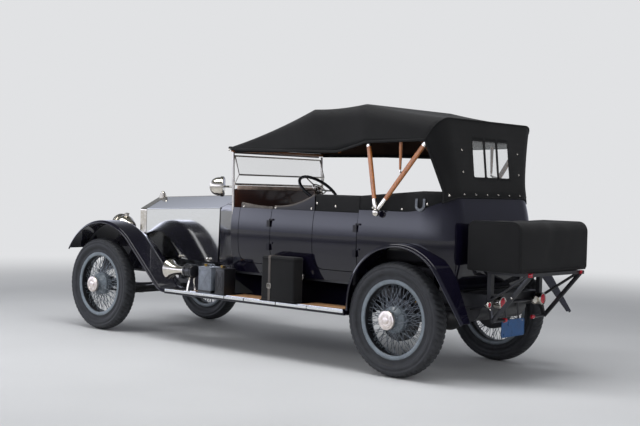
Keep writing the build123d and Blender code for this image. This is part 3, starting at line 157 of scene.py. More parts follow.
def stain(tree, shader, place, low, high, size, detail=4.0, low_rough=None, high_rough=None):
    """Vary a finish's colour, and its roughness if asked, by a soft noise whose patches are size metres across."""
    noise = add(tree, "ShaderNodeTexNoise", None,
                {"Vector": (place, "Object"), "Scale": 1.0 / size, "Detail": detail, "Roughness": 0.6})
    ramp = add(tree, "ShaderNodeMapRange", None,
               {"Value": (noise, "Fac"), "From Min": 0.35, "From Max": 0.65})
    mix = add(tree, "ShaderNodeMix", {"data_type": "RGBA"}, {"Factor": (ramp, "Result"), 6: low, 7: high})
    tree.links.new(mix.outputs[2], shader.inputs["Base Color"])
    if low_rough is not None:
        rough = add(tree, "ShaderNodeMapRange", None, {"Value": (noise, "Fac"), "From Min": 0.3, "From Max": 0.7,
                                                       "To Min": low_rough, "To Max": high_rough})
        tree.links.new(rough.outputs[0], shader.inputs["Roughness"])
    return mix


def coach_lacquer(finish):
    """Coach lacquer, rubbed down by hand: deep colour under a clear coat with a faint ripple."""
    material, tree, shader, place = begin("coach_lacquer", Roughness=0.32, **{
        "Coat Weight": 1.0, "Coat Roughness": 0.035, "Specular IOR Level": 0.05})
    stain(tree, shader, place, shade(finish.lacquer, 0.82), shade(finish.lacquer, 1.2), 0.35)
    ripple = add(tree, "ShaderNodeTexNoise", None, {"Vector": (place, "Object"), "Scale": 1 / 0.09, "Detail": 2.0})
    bump = add(tree, "ShaderNodeBump", None, {"Height": (ripple, "Fac"), "Strength": 0.05, "Distance": 0.004})
    tree.links.new(bump.outputs[0], shader.inputs["Coat Normal"])
    return material


def polished_aluminium(finish):
    """Hand-polished aluminium sheet: mirror-like, with long fine polishing lines and slow waves."""
    material, tree, shader, place = begin("polished_aluminium", Metallic=1.0)
    lines = add(tree, "ShaderNodeMapping", None, {"Vector": (place, "Object"), "Scale": (3.0, 260.0, 260.0)})
    brush = add(tree, "ShaderNodeTexNoise", None, {"Vector": (lines, "Vector"), "Scale": 1.0, "Detail": 3.0})
    rough = add(tree, "ShaderNodeMapRange", None, {"Value": (brush, "Fac"), "To Min": 0.03, "To Max": 0.13})
    tree.links.new(rough.outputs[0], shader.inputs["Roughness"])
    tint = add(tree, "ShaderNodeMix", {"data_type": "RGBA"},
               {"Factor": (brush, "Fac"), 6: shade(finish.bonnet, 0.92), 7: shade(finish.bonnet, 1.05)})
    tree.links.new(tint.outputs[2], shader.inputs["Base Color"])
    wave = add(tree, "ShaderNodeTexNoise", None, {"Vector": (place, "Object"), "Scale": 1 / 0.3, "Detail": 1.0})
    bump = add(tree, "ShaderNodeBump", None, {"Height": (wave, "Fac"), "Strength": 0.05, "Distance": 0.006})
    tree.links.new(bump.outputs[0], shader.inputs["Normal"])
    return material


def cotton_duck(finish, name="cotton_duck", base=None, thread=0.0045):
    """Waterproof cotton duck: crossed threads under a matt dressing, faded in broad patches."""
    base = finish.cloth if base is None else base
    material, tree, shader, place = begin(name, Roughness=0.86, **{
        "Sheen Weight": 0.06, "Sheen Roughness": 0.5, "Specular IOR Level": 0.25})
    stain(tree, shader, place, shade(base, 0.8), shade(base, 1.35), 0.5, 5.0)
    # Real threads are about 1 mm apart; they are drawn coarser so that they show
    warp, weft, rise = (
        add(tree, "ShaderNodeTexWave", {"bands_direction": way},
            {"Vector": (place, "Object"), "Scale": WAVE_PITCH / thread, "Distortion": 0.4, "Detail": 1.0})
        for way in "YXZ")
    pair = add(tree, "ShaderNodeMath", {"operation": "MULTIPLY"}, {0: (warp, "Fac"), 1: (weft, "Fac")})
    weave = add(tree, "ShaderNodeMath", {"operation": "ADD"}, {0: (pair, "Value"), 1: (rise, "Fac")})
    bump = add(tree, "ShaderNodeBump", None, {"Height": (weave, "Value"), "Strength": 0.25, "Distance": 0.0012})
    tree.links.new(bump.outputs[0], shader.inputs["Normal"])
    return material


def hood_lining(finish):
    """Fawn cotton on the back of the duck, gone brown."""
    return cotton_duck(finish, "hood_lining", finish.lining, 0.003)


def varnished_wood(name, base, along):
    """Varnished wood: dark grain lines drawn out along one axis under a clear coat."""
    material, tree, shader, place = begin(name, Roughness=0.4, **{"Coat Weight": 0.7, "Coat Roughness": 0.12})
    scale = [160.0, 160.0, 160.0]
    scale["XYZ".index(along)] = 6.0
    grain_place = add(tree, "ShaderNodeMapping", None, {"Vector": (place, "Object"), "Scale": scale})
    grain = add(tree, "ShaderNodeTexNoise", None,
                {"Vector": (grain_place, "Vector"), "Scale": 1.0, "Detail": 6.0, "Distortion": 1.2})
    ramp = add(tree, "ShaderNodeMapRange", None, {"Value": (grain, "Fac"), "From Min": 0.3, "From Max": 0.7})
    tint = add(tree, "ShaderNodeMix", {"data_type": "RGBA"},
               {"Factor": (ramp, "Result"), 6: shade(base, 0.45), 7: shade(base, 1.25)})
    tree.links.new(tint.outputs[2], shader.inputs["Base Color"])
    bump = add(tree, "ShaderNodeBump", None, {"Height": (grain, "Fac"), "Strength": 0.08, "Distance": 0.002})
    tree.links.new(bump.outputs[0], shader.inputs["Normal"])
    return material


def ash_wood(finish):
    """Steamed ash of the hood sticks, grain along their length."""
    return varnished_wood("ash_wood", finish.ash, "Z")


def mahogany_board(finish):
    """Mahogany dashboard with its grain across the car."""
    return varnished_wood("mahogany_board", finish.mahogany, "Y")


def clear_pane(finish):
    """Drawn sheet glass: nearly clear, sharp reflections."""
    material, tree, shader, place = begin("clear_pane", Roughness=0.03, Alpha=0.08, **{
        "Base Color": rgba(linear("#dfe8e8")), "Specular IOR Level": 0.7})
    wave = add(tree, "ShaderNodeTexNoise", None, {"Vector": (place, "Object"), "Scale": 1 / 0.4, "Detail": 1.0})
    bump = add(tree, "ShaderNodeBump", None, {"Height": (wave, "Fac"), "Strength": 0.05, "Distance": 0.004})
    tree.links.new(bump.outputs[0], shader.inputs["Normal"])
    return material


def soft_light(finish):
    """Clear flexible sheet of the rear lights: wavy and a little cloudy."""
    material, tree, shader, place = begin("soft_light", Roughness=0.14, Alpha=0.3, **{
        "Base Color": rgba(linear("#cfd2d2"))})
    wave = add(tree, "ShaderNodeTexNoise", None,
               {"Vector": (place, "Object"), "Scale": 1 / 0.08, "Detail": 1.0, "Distortion": 1.5})
    bump = add(tree, "ShaderNodeBump", None, {"Height": (wave, "Fac"), "Strength": 0.5, "Distance": 0.01})
    tree.links.new(bump.outputs[0], shader.inputs["Normal"])
    return material


def radiator_cells(finish):
    """Gilled brass tubes of the radiator, blackened: a fine square mesh too small to model; its low parts are painted
    darker as shade in the openings.
    """
    material, tree, shader, place = begin("radiator_cells", Roughness=0.5, Metallic=0.4)
    warp, rise = (
        add(tree, "ShaderNodeTexWave", {"bands_direction": way},
            {"Vector": (place, "Object"), "Scale": WAVE_PITCH / 0.009})
        for way in "YZ")
    cell_height_and_shade = add(tree, "ShaderNodeMath", {"operation": "MULTIPLY"}, {0: (warp, "Fac"), 1: (rise, "Fac")})
    # Blackened brass, with painted shade: the low gaps between the cells near black, the raised parts lighter
    tint = add(tree, "ShaderNodeMix", {"data_type": "RGBA"},
               {"Factor": (cell_height_and_shade, "Value"), 6: rgba(linear("#141416")), 7: rgba(linear("#4d4a45"))})
    tree.links.new(tint.outputs[2], shader.inputs["Base Color"])
    bump = add(tree, "ShaderNodeBump", None, {"Height": (cell_height_and_shade, "Value"), "Strength": 0.6, "Distance": 0.003})
    tree.links.new(bump.outputs[0], shader.inputs["Normal"])
    return material


# Small pebbles of grained hide, as a relief: texture, its settings, size in metres, inputs, output, strength, height
PEBBLES = ("ShaderNodeTexVoronoi", {"feature": "SMOOTH_F1"}, 0.006, {"Smoothness": 0.4}, "Distance", 0.25, 0.0015)
# Finishes of one stained shader: sockets; dark and light tone, size of a patch in metres, detail and roughness range
# of the stain; relief, if any
STAINED = {
    # Stoved black enamel on forged and pressed steel: half gloss, dusty in patches
    "black_enamel": ({"Coat Weight": 0.35, "Coat Roughness": 0.15},
                     (("enamel", 1.0), ("enamel", 2.4), 0.09, 6.0, 0.3, 0.55), None),
    # Nickel plate on brass: warm mirror with cloudy wiping marks
    "nickel_plate": ({"Metallic": 1.0}, (("nickel", 0.85), ("nickel", 1.0), 0.03, 3.0, 0.08, 0.22), None),
    # Satin nickel of the hub caps, paler and softer than the plate
    "cap_nickel": ({"Metallic": 1.0}, (("#d9cdc4", 1.0), ("#f4ece6", 1.0), 0.02, 3.0, 0.28, 0.40), None),
    # Cast brass, brown in the corners
    "old_brass": ({"Metallic": 1.0}, (("#7d6233", 1.0), ("#b8964f", 1.0), 0.02, 4.0, 0.2, 0.4), None),
    # Grained cow hide: small pebbles with soft gloss, lighter where it has been rubbed
    "bridle_hide": ({"Specular IOR Level": 0.45}, (("hide", 1.0), ("hide", 1.9), 0.12, 6.0, 0.38, 0.6), PEBBLES),
    # Pale pinkish hide of the padded strip on the dashboard
    "pale_hide": ({"Specular IOR Level": 0.45}, (("#b5a094", 1.0), ("#b5a094", 1.9), 0.12, 6.0, 0.38, 0.6), PEBBLES),
    # Grey-brown hide of the rolled edges, rubbed by sleeves
    "coaming_hide": ({"Specular IOR Level": 0.45},
                     (("#3f3a36", 1.0), ("#3f3a36", 1.9), 0.12, 6.0, 0.38, 0.6), PEBBLES),
    # Thick lamp glass with a silvered bowl behind it
    "lamp_glass": ({"Roughness": 0.08, "Metallic": 0.55, "Coat Weight": 1.0},
                   (("#aab0b2", 1.0), ("#e6e9ea", 1.0), 0.03), None),
    # Vulcanised rubber: matt, greyed by dust
    "tyre_rubber": ({"Specular IOR Level": 0.35}, (("tyre", 0.75), ("tyre", 1.45), 0.06, 6.0, 0.46, 0.72),
                    ("ShaderNodeTexNoise", None, 0.004, {"Detail": 2.0}, "Fac", 0.2, 0.001)),
    # Blue-grey enamel brushed on steel wheels: soft gloss, dusty near the nipples
    "wheel_enamel": ({"Coat Weight": 0.4, "Coat Roughness": 0.2},
                     (("wheel", 0.8), ("wheel", 1.15), 0.05, 5.0, 0.32, 0.5), None),
    # Drawn steel spokes, bright grey under a thin enamel
    "steel_wire": ({"Metallic": 0.6}, (("#3b4147", 1.0), ("#8d949b", 1.0), 0.03, 4.0, 0.3, 0.5), None),
    # Tan rubber mat with ribs along the board, worn pale where feet have rubbed it
    "ribbed_mat": ({"Roughness": 0.8}, (("mat", 0.65), ("mat", 1.3), 0.12, 6.0),
                   ("ShaderNodeTexWave", {"bands_direction": "Y"}, 0.009 / WAVE_PITCH, {}, "Fac", 0.6, 0.002)),
    # Grey enamel on tinned steel cans, chipped a little darker
    "can_enamel": ({"Coat Weight": 0.3, "Coat Roughness": 0.2},
                   (("can", 0.7), ("can", 1.1), 0.07, 6.0, 0.35, 0.5), None),
    # Sand-cast aluminium and iron of the engine: dull grey with a grainy skin
    "cast_grey": ({"Metallic": 0.7}, (("#4d4f52", 1.0), ("#85888c", 1.0), 0.05, 6.0, 0.45, 0.65),
                  ("ShaderNodeTexNoise", None, 0.004, {"Detail": 3.0}, "Fac", 0.3, 0.0015)),
    # Red flashed glass of tail lamps and reflectors, moulded in small lenses
    "ruby_glass": ({"Roughness": 0.12, "Coat Weight": 1.0, "Coat Roughness": 0.03},
                   (("lens", 0.7), ("lens", 1.5), 0.012),
                   ("ShaderNodeTexVoronoi", None, 0.009, {}, "Distance", 0.3, 0.002)),
    # Vitreous blue enamel on a pressed steel plate
    "plate_enamel": ({"Coat Weight": 0.1}, (("plate", 0.85), ("plate", 1.15), 0.05, 4.0, 0.25, 0.4), None),
    # White enamel of dial faces and lamp glass
    "plate_white": ({"Coat Weight": 0.5}, (("#cfccc2", 1.0), ("#e4e1d8", 1.0), 0.03, 4.0, 0.3, 0.45), None),
}


def tone(finish, source, factor):
    """Give a colour of the panel, or a hex colour, made lighter or darker by a factor."""
    return shade(linear(source) if source[0] == "#" else getattr(finish, source), factor)


def stained(finish, name):
    """Make a finish of the table: a stained shader, raised by a texture if its row has a relief."""
    sockets, (dark, light, *spread), relief = STAINED[name]
    material, tree, shader, place = begin(name, **sockets)
    stain(tree, shader, place, tone(finish, *dark), tone(finish, *light), *spread)
    if relief:
        kind, settings, size, inputs, output, strength, height = relief
        texture = add(tree, kind, settings, {"Vector": (place, "Object"), "Scale": 1 / size, **inputs})
        bump = add(tree, "ShaderNodeBump", None,
                   {"Height": (texture, output), "Strength": strength, "Distance": height})
        tree.links.new(bump.outputs[0], shader.inputs["Normal"])
    return material


# Finish: function that makes it or row of the table above, record slot
FINISHES = {
    "lacquer": (coach_lacquer, "body_paint"), "enamel": ("black_enamel", "black_paint"),
    "aluminium": (polished_aluminium, "bright_aluminium"), "nickel": ("nickel_plate", "nickel"),
    "brass": ("old_brass", "nickel"), "cap": ("cap_nickel", "nickel"), "duck": (cotton_duck, "hood_cloth"),
    "lining": (hood_lining, "hood_cloth"), "ash": (ash_wood, "wood"), "mahogany": (mahogany_board, "wood"),
    "hide": ("bridle_hide", "leather"), "coaming": ("coaming_hide", "leather"), "pale": ("pale_hide", "leather"),
    "pane": (clear_pane, "glass"), "light": (soft_light, "glass"), "lamp_glass": ("lamp_glass", "glass"),
    "rubber": ("tyre_rubber", "tyre"), "wheel": ("wheel_enamel", "wheel_paint"),
    "wire": ("steel_wire", "wheel_paint"), "mat": ("ribbed_mat", "board"), "can": ("can_enamel", "can_paint"),
    "cast": ("cast_grey", "cast_iron"), "ruby": ("ruby_glass", "red_lamp"), "plate": ("plate_enamel", "can_paint"),
    "white": ("plate_white", "can_paint"), "cells": (radiator_cells, "black_paint"),
}
made_finishes = {}


def finish(name):
    """Give a finish's material, made at its first use."""
    if name not in made_finishes:
        maker, colours = FINISHES[name][0], bpy.context.scene.car_finish
        made_finishes[name] = stained(colours, maker) if maker in STAINED else maker(colours)
    return made_finishes[name]


# Grid surfaces and profiles


def unit(vectors):
    """Give vectors made one long."""
    vectors = np.asarray(vectors, float)
    return vectors / np.linalg.norm(vectors, axis=-1, keepdims=True)


def mm(rows):
    """Give lengths in millimetres as metres."""
    return np.array(rows, float) / 1000.0


def angles(count):
    """Give the angles of equal steps round a circle."""
    return np.linspace(0, 2 * np.pi, count, endpoint=False)


def run_along(line):
    """Give how far each point of a line is from its start, measured along it."""
    return np.concatenate([[0], np.cumsum(np.linalg.norm(np.diff(line, axis=0), axis=1))])


def apart(line):
    """Give a line without points that repeat the one before."""
    return line[np.concatenate([[True], np.linalg.norm(np.diff(line, axis=0), axis=1) > 1e-6])]


def quads(rows, cols, loop_rows=False, loop_cols=False):
    """Faces between neighbours of a rows x cols grid of points; a loop joins its last line to its first."""
    r = np.arange(rows if loop_rows else rows - 1)
    c = np.arange(cols if loop_cols else cols - 1)
    r, c = np.meshgrid(r, c, indexing="ij")
    s, d = (r + 1) % rows, (c + 1) % cols
    return np.stack([r * cols + c, r * cols + d, s * cols + d, s * cols + c], -1).reshape(-1, 4)


class Heap:
    """Points and faces of one piece, gathered grid by grid."""

    def __init__(self):
        self.points = []
        self.faces = []
        self.count = 0

    def grid(self, points, loop_rows=False, loop_cols=False, caps=False):
        """Add a grid of points; caps close the first and last row with one face each."""
        points = np.asarray(points, float)
        rows, cols = points.shape[:2]
        self.faces += (quads(rows, cols, loop_rows, loop_cols) + self.count).tolist()
        if caps:
            self.faces.append((np.arange(cols)[::-1] + self.count).tolist())
            self.faces.append((np.arange(cols) + self.count + (rows - 1) * cols).tolist())
        self.points.append(points.reshape(-1, 3))
        self.count += rows * cols

    def grids(self, stack, caps=True):
        """Add many like tubes at once: stack is (tubes, rows, cols, 3), closed round the columns."""
        stack = np.asarray(stack, float)
        number, rows, cols = stack.shape[:3]
        one = quads(rows, cols, False, True)
        start = self.count + np.arange(number)[:, None, None] * rows * cols
        self.faces += (one[None] + start).reshape(-1, 4).tolist()
        if caps:
            ends = np.stack([np.arange(cols)[::-1], np.arange(cols) + (rows - 1) * cols])
            self.faces += (ends[None] + start).reshape(-1, cols).tolist()
        self.points.append(stack.reshape(-1, 3))
        self.count += number * rows * cols

    def bar(self, path, profile, up=UP, scale=None):
        """Add a profile carried along a path, closed at both ends."""
        self.grid(carry(path, profile, up, False, scale), False, True, True)

    def hoop(self, path, profile, up=UP, scale=None):
        """Add a profile carried round a closed path."""
        self.grid(carry(path, profile, up, True, scale), True, True)

    def turned(self, rows, centre, axis, count):
        """Add rows turned about an axis, closed at both ends."""
        self.grid(spun(rows, centre, axis, count), False, True, True)

    def collar(self, rows, centre, axis, count):
        """Add a closed section turned about an axis."""
        self.grid(spun(rows, centre, axis, count), True, True)

    def block(self, low, high, radius, count):
        """Add a box with round edges."""
        self.grid(soft_block(low, high, radius, count), False, True, True)

    def piece(self, name, closed=True, sharp=35.0):
        """Make the object; closed shells get outward faces, edges sharper than an angle stay crisp."""
        mesh = bpy.data.meshes.new(name)
        mesh.from_pydata(np.concatenate(self.points).tolist(), [], self.faces)
        mesh.validate()
        if closed:
            work = bmesh.new()
            work.from_mesh(mesh)
            bmesh.ops.recalc_face_normals(work, faces=work.faces)
            work.to_mesh(mesh)
            work.free()
        mesh.shade_smooth()
        mesh.set_sharp_from_angle(angle=math.radians(sharp))
        item = bpy.data.objects.new(name, mesh)
        bpy.context.scene.collection.objects.link(item)
        return item

    def settled(self, name, look, body="body", replaces=(), **shape):
        """Make the object and settle it."""
        return settle(self.piece(name, **shape), look, body, replaces)


def settle(item, finish_name, body="body", replaces=()):
    """Give a piece its finish, let it ride on a body, and stand it for frame nodes."""
    item.data.materials.clear()
    item.data.materials.append(finish(finish_name))
    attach(item, body)
    if replaces:
        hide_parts(*replaces)
    return item


def ring(radius, count=12):
    """A round profile: (r cos a, r sin a)."""
    a = angles(count)
    return np.stack([radius * np.cos(a), radius * np.sin(a)], -1)


def round_bar(width, height, corner, count=4):
    """A rectangle profile with round corners, each an arc of count points."""
    a = np.linspace(0, np.pi / 2, count)
    quarter = np.concatenate([a + k * np.pi / 2 for k in range(4)])
    sign_x = np.repeat([1, -1, -1, 1], count)
    sign_y = np.repeat([1, 1, -1, -1], count)
    return np.stack([sign_x * (width / 2 - corner) + corner * np.cos(quarter),
                     sign_y * (height / 2 - corner) + corner * np.sin(quarter)], -1)


def carry(path, profile, up=UP, loop=False, scale=None):
    """Carry a profile along a path: path + side x + rise y, with side = up x tangent and rise = tangent x side."""
    path = np.asarray(path, float)
    tangent = np.roll(path, -1, 0) - np.roll(path, 1, 0) if loop else np.gradient(path, axis=0)
    tangent = unit(tangent)
    side = unit(np.cross(np.broadcast_to(up, tangent.shape), tangent))
    rise = np.cross(tangent, side)
    profile = np.asarray(profile, float)[None]
    if scale is not None:
        profile = profile * np.asarray(scale, float)[:, None, None]
    return path[:, None] + side[:, None] * profile[..., :1] + rise[:, None] * profile[..., 1:]


def spun(rows, centre, axis, count=48):
    """Turn rows of (distance along the axis, radius) about an axis: centre + axis d + r (u cos a + v sin a)."""
    rows = np.asarray(rows, float)
    axis = unit(axis)
    u = unit(np.cross(axis, UP if abs(axis[2]) < 0.9 else AHEAD))
    v = np.cross(axis, u)
    a = angles(count)
    spoke = np.cos(a)[:, None] * u + np.sin(a)[:, None] * v
    return np.asarray(centre, float) + rows[:, :1, None] * axis + rows[:, 1:, None] * spoke[None]


def smooth_rows(rows, steps):
    """Points on a smooth line through rows: Catmull-Rom, q(f) from four neighbours."""
    rows = np.asarray(rows, float)
    ends = np.concatenate([rows[:1] * 2 - rows[1:2], rows, rows[-1:] * 2 - rows[-2:-1]])
    f = np.linspace(0, 1, steps, endpoint=False)[None, :, None]
    a, b, c, d = (ends[i:len(ends) - 3 + i, None] for i in range(4))
    q = 0.5 * (2 * b + (c - a) * f + (2 * a - 5 * b + 4 * c - d) * f ** 2 + (3 * b - a - 3 * c + d) * f ** 3)
    return np.concatenate([q.reshape(-1, rows.shape[1]), rows[-1:]])


def soft_block(low, high, radius, count=5):
    """A box with round edges: sign(n) (half - r) + r n for each direction n of a ball."""
    low, high = np.asarray(low, float), np.asarray(high, float)
    a = np.concatenate([np.linspace(k, k + 1, count) for k in range(4)]) * np.pi / 2
    sx = np.repeat([1, -1, -1, 1], count)
    sy = np.repeat([1, 1, -1, -1], count)
    b = np.concatenate([np.linspace(-1, 0, count), np.linspace(0, 1, count)]) * np.pi / 2
    sz = np.repeat([-1, 1], count)
    n = np.stack([np.cos(b)[:, None] * np.cos(a), np.cos(b)[:, None] * np.sin(a),
                  np.broadcast_to(np.sin(b)[:, None], (len(b), len(a)))], -1)
    sign = np.stack(np.broadcast_arrays(sx[None], sy[None], sz[:, None]), -1)
    return (low + high) / 2 + sign * ((high - low) / 2 - radius) + radius * n


def block_piece(name, low, high, radius, count=4):
    """One rounded block as a piece."""
    heap = Heap()
    heap.block(low, high, radius, count)
    return heap.piece(name)


def tube(heap, start, end, radius, count=10):
    """Add a straight round bar between two points."""
    path = np.linspace(start, end, 2)
    lean = np.asarray(end, float) - np.asarray(start, float)
    up = UP if abs(lean[2]) < 0.9 * np.linalg.norm(lean) else AHEAD
    heap.bar(path, ring(radius, count), up)


def studs(heap, places, normals, radius, count=10):
    """Add domed studs: rings of a half ball on each place, along its normal."""
    places = np.asarray(places, float)
    normals = unit(np.broadcast_to(normals, places.shape))
    u = unit(np.cross(normals, (0.31, 0.17, 0.93)))
    v = np.cross(normals, u)
    a = angles(count)
    turn = u[:, None] * np.cos(a)[:, None] + v[:, None] * np.sin(a)[:, None]
    rows = np.array([(-0.35, 1.0), (0.12, 1.0), (0.42, 0.75), (0.55, 0.3)]) * radius
    stack = places[:, None, None] + normals[:, None, None] * rows[None, :, :1, None] \
        + turn[:, None] * rows[None, :, 1:, None]
    heap.grids(stack)


# The frame's nodes by finish
NODE_FINISHES = {
    "wheel": "wheel_front_left wheel_front_right wheel_rear_left wheel_rear_right",
    "rubber": "tyre_front_left tyre_front_right tyre_rear_left tyre_rear_right",
    "nickel": "bonnet_hinge headlamps horn radiator_shell spot_lamp steering_column tail_lamps windscreen_frame",
    "can": "cans",
    "enamel": (
        "chassis_frame exhaust floor front_axle fuel_tank knuckle_left knuckle_right luggage_rack "
        "rear_axle springs steering_wheel track_rod"),
    "mahogany": "dashboard",
    "lacquer": (
        "door_front_left door_front_right door_rear_left door_rear_right front_wings rear_wings "
        "running_boards scuttle side_panels tonneau"),
    "cast": "engine",
    "cells": "radiator_core",
    "pane": "windscreen_glass",
    "aluminium": "bonnet_top_left bonnet_top_right bonnet_side_left bonnet_side_right",
    "hide": "door_band_left door_band_right hood_band tool_trunk front_seat rear_seat",
    "duck": "rear_trunk hood_cover",
    "ash": "hood_frame",
    "light": "hood_lights",
}


class CAR_OT_coachwork(Operator):
    """Give every frame node its finish"""

    bl_idname = "car.coachwork"
    bl_label = "Coachwork finishes"

    def execute(self, context):
        for name, nodes in NODE_FINISHES.items():
            for node in nodes.split():
                data = NODES[node].data
                data.materials.clear()
                data.materials.append(finish(name))
        return {"FINISHED"}


# Camera fitted to the photograph: place; yaw, pitch and roll in degrees; focal length and picture width in pixels;
# sensor width in millimetres
CAMERA_PLACE = (-6.935, 7.70, 1.45)
CAMERA_TURNS = (-48.52, 1.28, 1.58)
CAMERA_FOCAL = 1139.0
CAMERA_WIDTH = 640.0
SENSOR = 36.0
# Area lights: name, place, what it faces, size, power
LIGHTS = (("top_box", (-0.5, 1.5, 5.6), (0.0, 0.2, 0.6), (8.0, 2.0), 300.0),
          ("side_box", (3.5, 8.5, 4.6), (0.0, 0.0, 0.9), (9.0, 2.2), 300.0),
          ("tail_box", (-9.0, 2.0, 3.8), (0.0, 0.0, 0.9), (4.0, 2.2), 110.0))


def stand(item, place, right, up, back):
    """Link an object and stand it at a place with its x, y and z along right, up and back."""
    bpy.context.scene.collection.objects.link(item)
    turn = np.stack([right, up, back], 1)
    item.matrix_world = Matrix.Translation(place) @ Matrix(turn.tolist()).to_4x4()


class CAR_OT_stage(Operator):
    """Pale studio floor, soft light and a camera at the photograph's view"""

    bl_idname = "car.stage"
    bl_label = "Stage"

    def execute(self, context):
        context.scene.view_settings.view_transform = "Standard"
        self.floor()
        self.world(context.scene)
        self.lights()
        self.camera(context.scene)
        return {"FINISHED"}

    def floor(self):
        """A round floor that fades into the backdrop, open from below."""
        heap = Heap()
        radius = np.array([0.0, 4.0, 12.0, 40.0, 120.0])
        a = angles(64)
        heap.grid(np.stack([radius[:, None] * np.cos(a), radius[:, None] * np.sin(a),
                            np.full((len(radius), len(a)), -0.001)], -1), False, True)
        floor = heap.piece("studio_floor", closed=False)
        floor.data.flip_normals()
        material, tree, shader, place = begin("studio_floor", Roughness=0.7)
        stain(tree, shader, place, rgba(linear("#c4c5c7")), rgba(linear("#cbccce")), 2.5, 2.0)
        # Beyond the car the floor fades into the backdrop's own brightness
        away = add(tree, "ShaderNodeVectorMath", {"operation": "LENGTH"}, {0: (place, "Object")})
        fade = add(tree, "ShaderNodeMapRange", {"interpolation_type": "SMOOTHSTEP"},
                   {"Value": (away, "Value"), "From Min": 5.0, "From Max": 13.0})
        glow = add(tree, "ShaderNodeEmission", None, {"Color": rgba(linear("#e1e2e4")), "Strength": 1.0})
        # Polished faces see the bare floor further out
        ray = add(tree, "ShaderNodeLightPath")
        late = add(tree, "ShaderNodeMapRange", {"interpolation_type": "SMOOTHSTEP"},
                   {"Value": (away, "Value"), "From Min": 12.0, "From Max": 26.0})
        share = add(tree, "ShaderNodeMix", {"data_type": "FLOAT"},
                    {0: (ray, "Is Camera Ray"), 2: (late, "Result"), 3: (fade, "Result")})
        blend = add(tree, "ShaderNodeMixShader", None,
                    {0: (share, 0), 1: (shader, "BSDF"), 2: (glow, "Emission")})
        # The floor is open from below, so that the chassis can be looked at
        face = add(tree, "ShaderNodeNewGeometry")
        clear = add(tree, "ShaderNodeBsdfTransparent")
        sided = add(tree, "ShaderNodeMixShader", None,
                    {0: (face, "Backfacing"), 1: (blend, "Shader"), 2: (clear, "BSDF")})
        tree.links.new(sided.outputs[0], tree.get_output_node("ALL").inputs["Surface"])
        floor.data.materials.append(material)

    def world(self, scene):
        """Soft light all round, and what the eye and polished faces see of the studio."""
        world = bpy.data.worlds.new("studio")
        scene.world = world
        world.use_nodes = True
        tree = world.node_tree
        tree.nodes.clear()
        light = add(tree, "ShaderNodeBackground", None, {"Color": rgba(linear("#dfe1e4")), "Strength": 0.5})
        # What the eye and the polished metal see: a pale wall that darkens towards the ceiling
        way = add(tree, "ShaderNodeTexCoord")
        part = add(tree, "ShaderNodeSeparateXYZ", None, {"Vector": (way, "Generated")})
        climb = add(tree, "ShaderNodeMapRange", {"interpolation_type": "SMOOTHSTEP"},
                    {"Value": (part, "Z"), "From Min": 0.20, "From Max": 0.66})
        wall = add(tree, "ShaderNodeMix", {"data_type": "RGBA"},
                   {"Factor": (climb, "Result"), 6: rgba(linear("#e1e2e4")), 7: rgba(linear("#3d3f45"))})
        seen = add(tree, "ShaderNodeBackground", None, {"Color": (wall, 2), "Strength": 1.0})
        # Polished faces also meet a long soft strip light, a little above the horizon
        start = add(tree, "ShaderNodeMapRange", {"interpolation_type": "SMOOTHSTEP"},
                    {"Value": (part, "Z"), "From Min": -0.03, "From Max": 0.13})
        stop = add(tree, "ShaderNodeMapRange", {"interpolation_type": "SMOOTHSTEP"},
                   {"Value": (part, "Z"), "From Min": 0.16, "From Max": 0.42, "To Min": 1.0, "To Max": 0.0})
        aim = add(tree, "ShaderNodeVectorMath", {"operation": "DOT_PRODUCT"},
                  {0: (way, "Generated"), 1: (0.66, 0.75, 0.0)})
        along = add(tree, "ShaderNodeMath", {"operation": "MAXIMUM"}, {0: (aim, "Value"), 1: 0.0})
        strip = add(tree, "ShaderNodeMath", {"operation": "MULTIPLY"}, {0: (start, "Result"), 1: (stop, "Result")})
        near = add(tree, "ShaderNodeMath", {"operation": "MULTIPLY"}, {0: (strip, "Value"), 1: (along, "Value")})
        # The wall is dimmer on the side away from the strip
        dim = add(tree, "ShaderNodeMapRange", None,
                  {"Value": (aim, "Value"), "From Min": -1.0, "From Max": 0.1, "To Min": 0.32, "To Max": 0.9})
        power = add(tree, "ShaderNodeMath", {"operation": "MULTIPLY_ADD"},
                    {0: (near, "Value"), 1: 2.6, 2: (dim, "Result")})
        cool = add(tree, "ShaderNodeMix", {"data_type": "RGBA"},
                   {"Factor": (climb, "Result"), 6: rgba(linear("#d6daec")), 7: rgba(linear("#6c6f6c"))})
        shine = add(tree, "ShaderNodeBackground", None, {"Color": (cool, 2), "Strength": (power, "Value")})
        ray = add(tree, "ShaderNodeLightPath")
        shown = add(tree, "ShaderNodeMath", {"operation": "MAXIMUM"},
                    {0: (ray, "Is Camera Ray"), 1: (ray, "Is Transmission Ray")})
        look = add(tree, "ShaderNodeMixShader", None,
                   {0: (shown, "Value"), 1: (light, "Background"), 2: (seen, "Background")})
        pick = add(tree, "ShaderNodeMixShader", None,
                   {0: (ray, "Is Glossy Ray"), 1: (look, "Shader"), 2: (shine, "Background")})
        add(tree, "ShaderNodeOutputWorld", None, {"Surface": (pick, "Shader")})

    def lights(self):
        """Three soft boxes; only the top one is mirrored in polished faces."""
        for name, place, target, size, power in LIGHTS:
            lamp = bpy.data.lights.new(name, "AREA")
            lamp.shape = "RECTANGLE"
            lamp.size, lamp.size_y = size
            lamp.energy = power
            item = bpy.data.objects.new(name, lamp)
            item.visible_glossy = name == "top_box"
            back = unit(np.asarray(place) - np.asarray(target))
            right = unit(np.cross(UP, back))
            stand(item, place, right, np.cross(back, right), back)

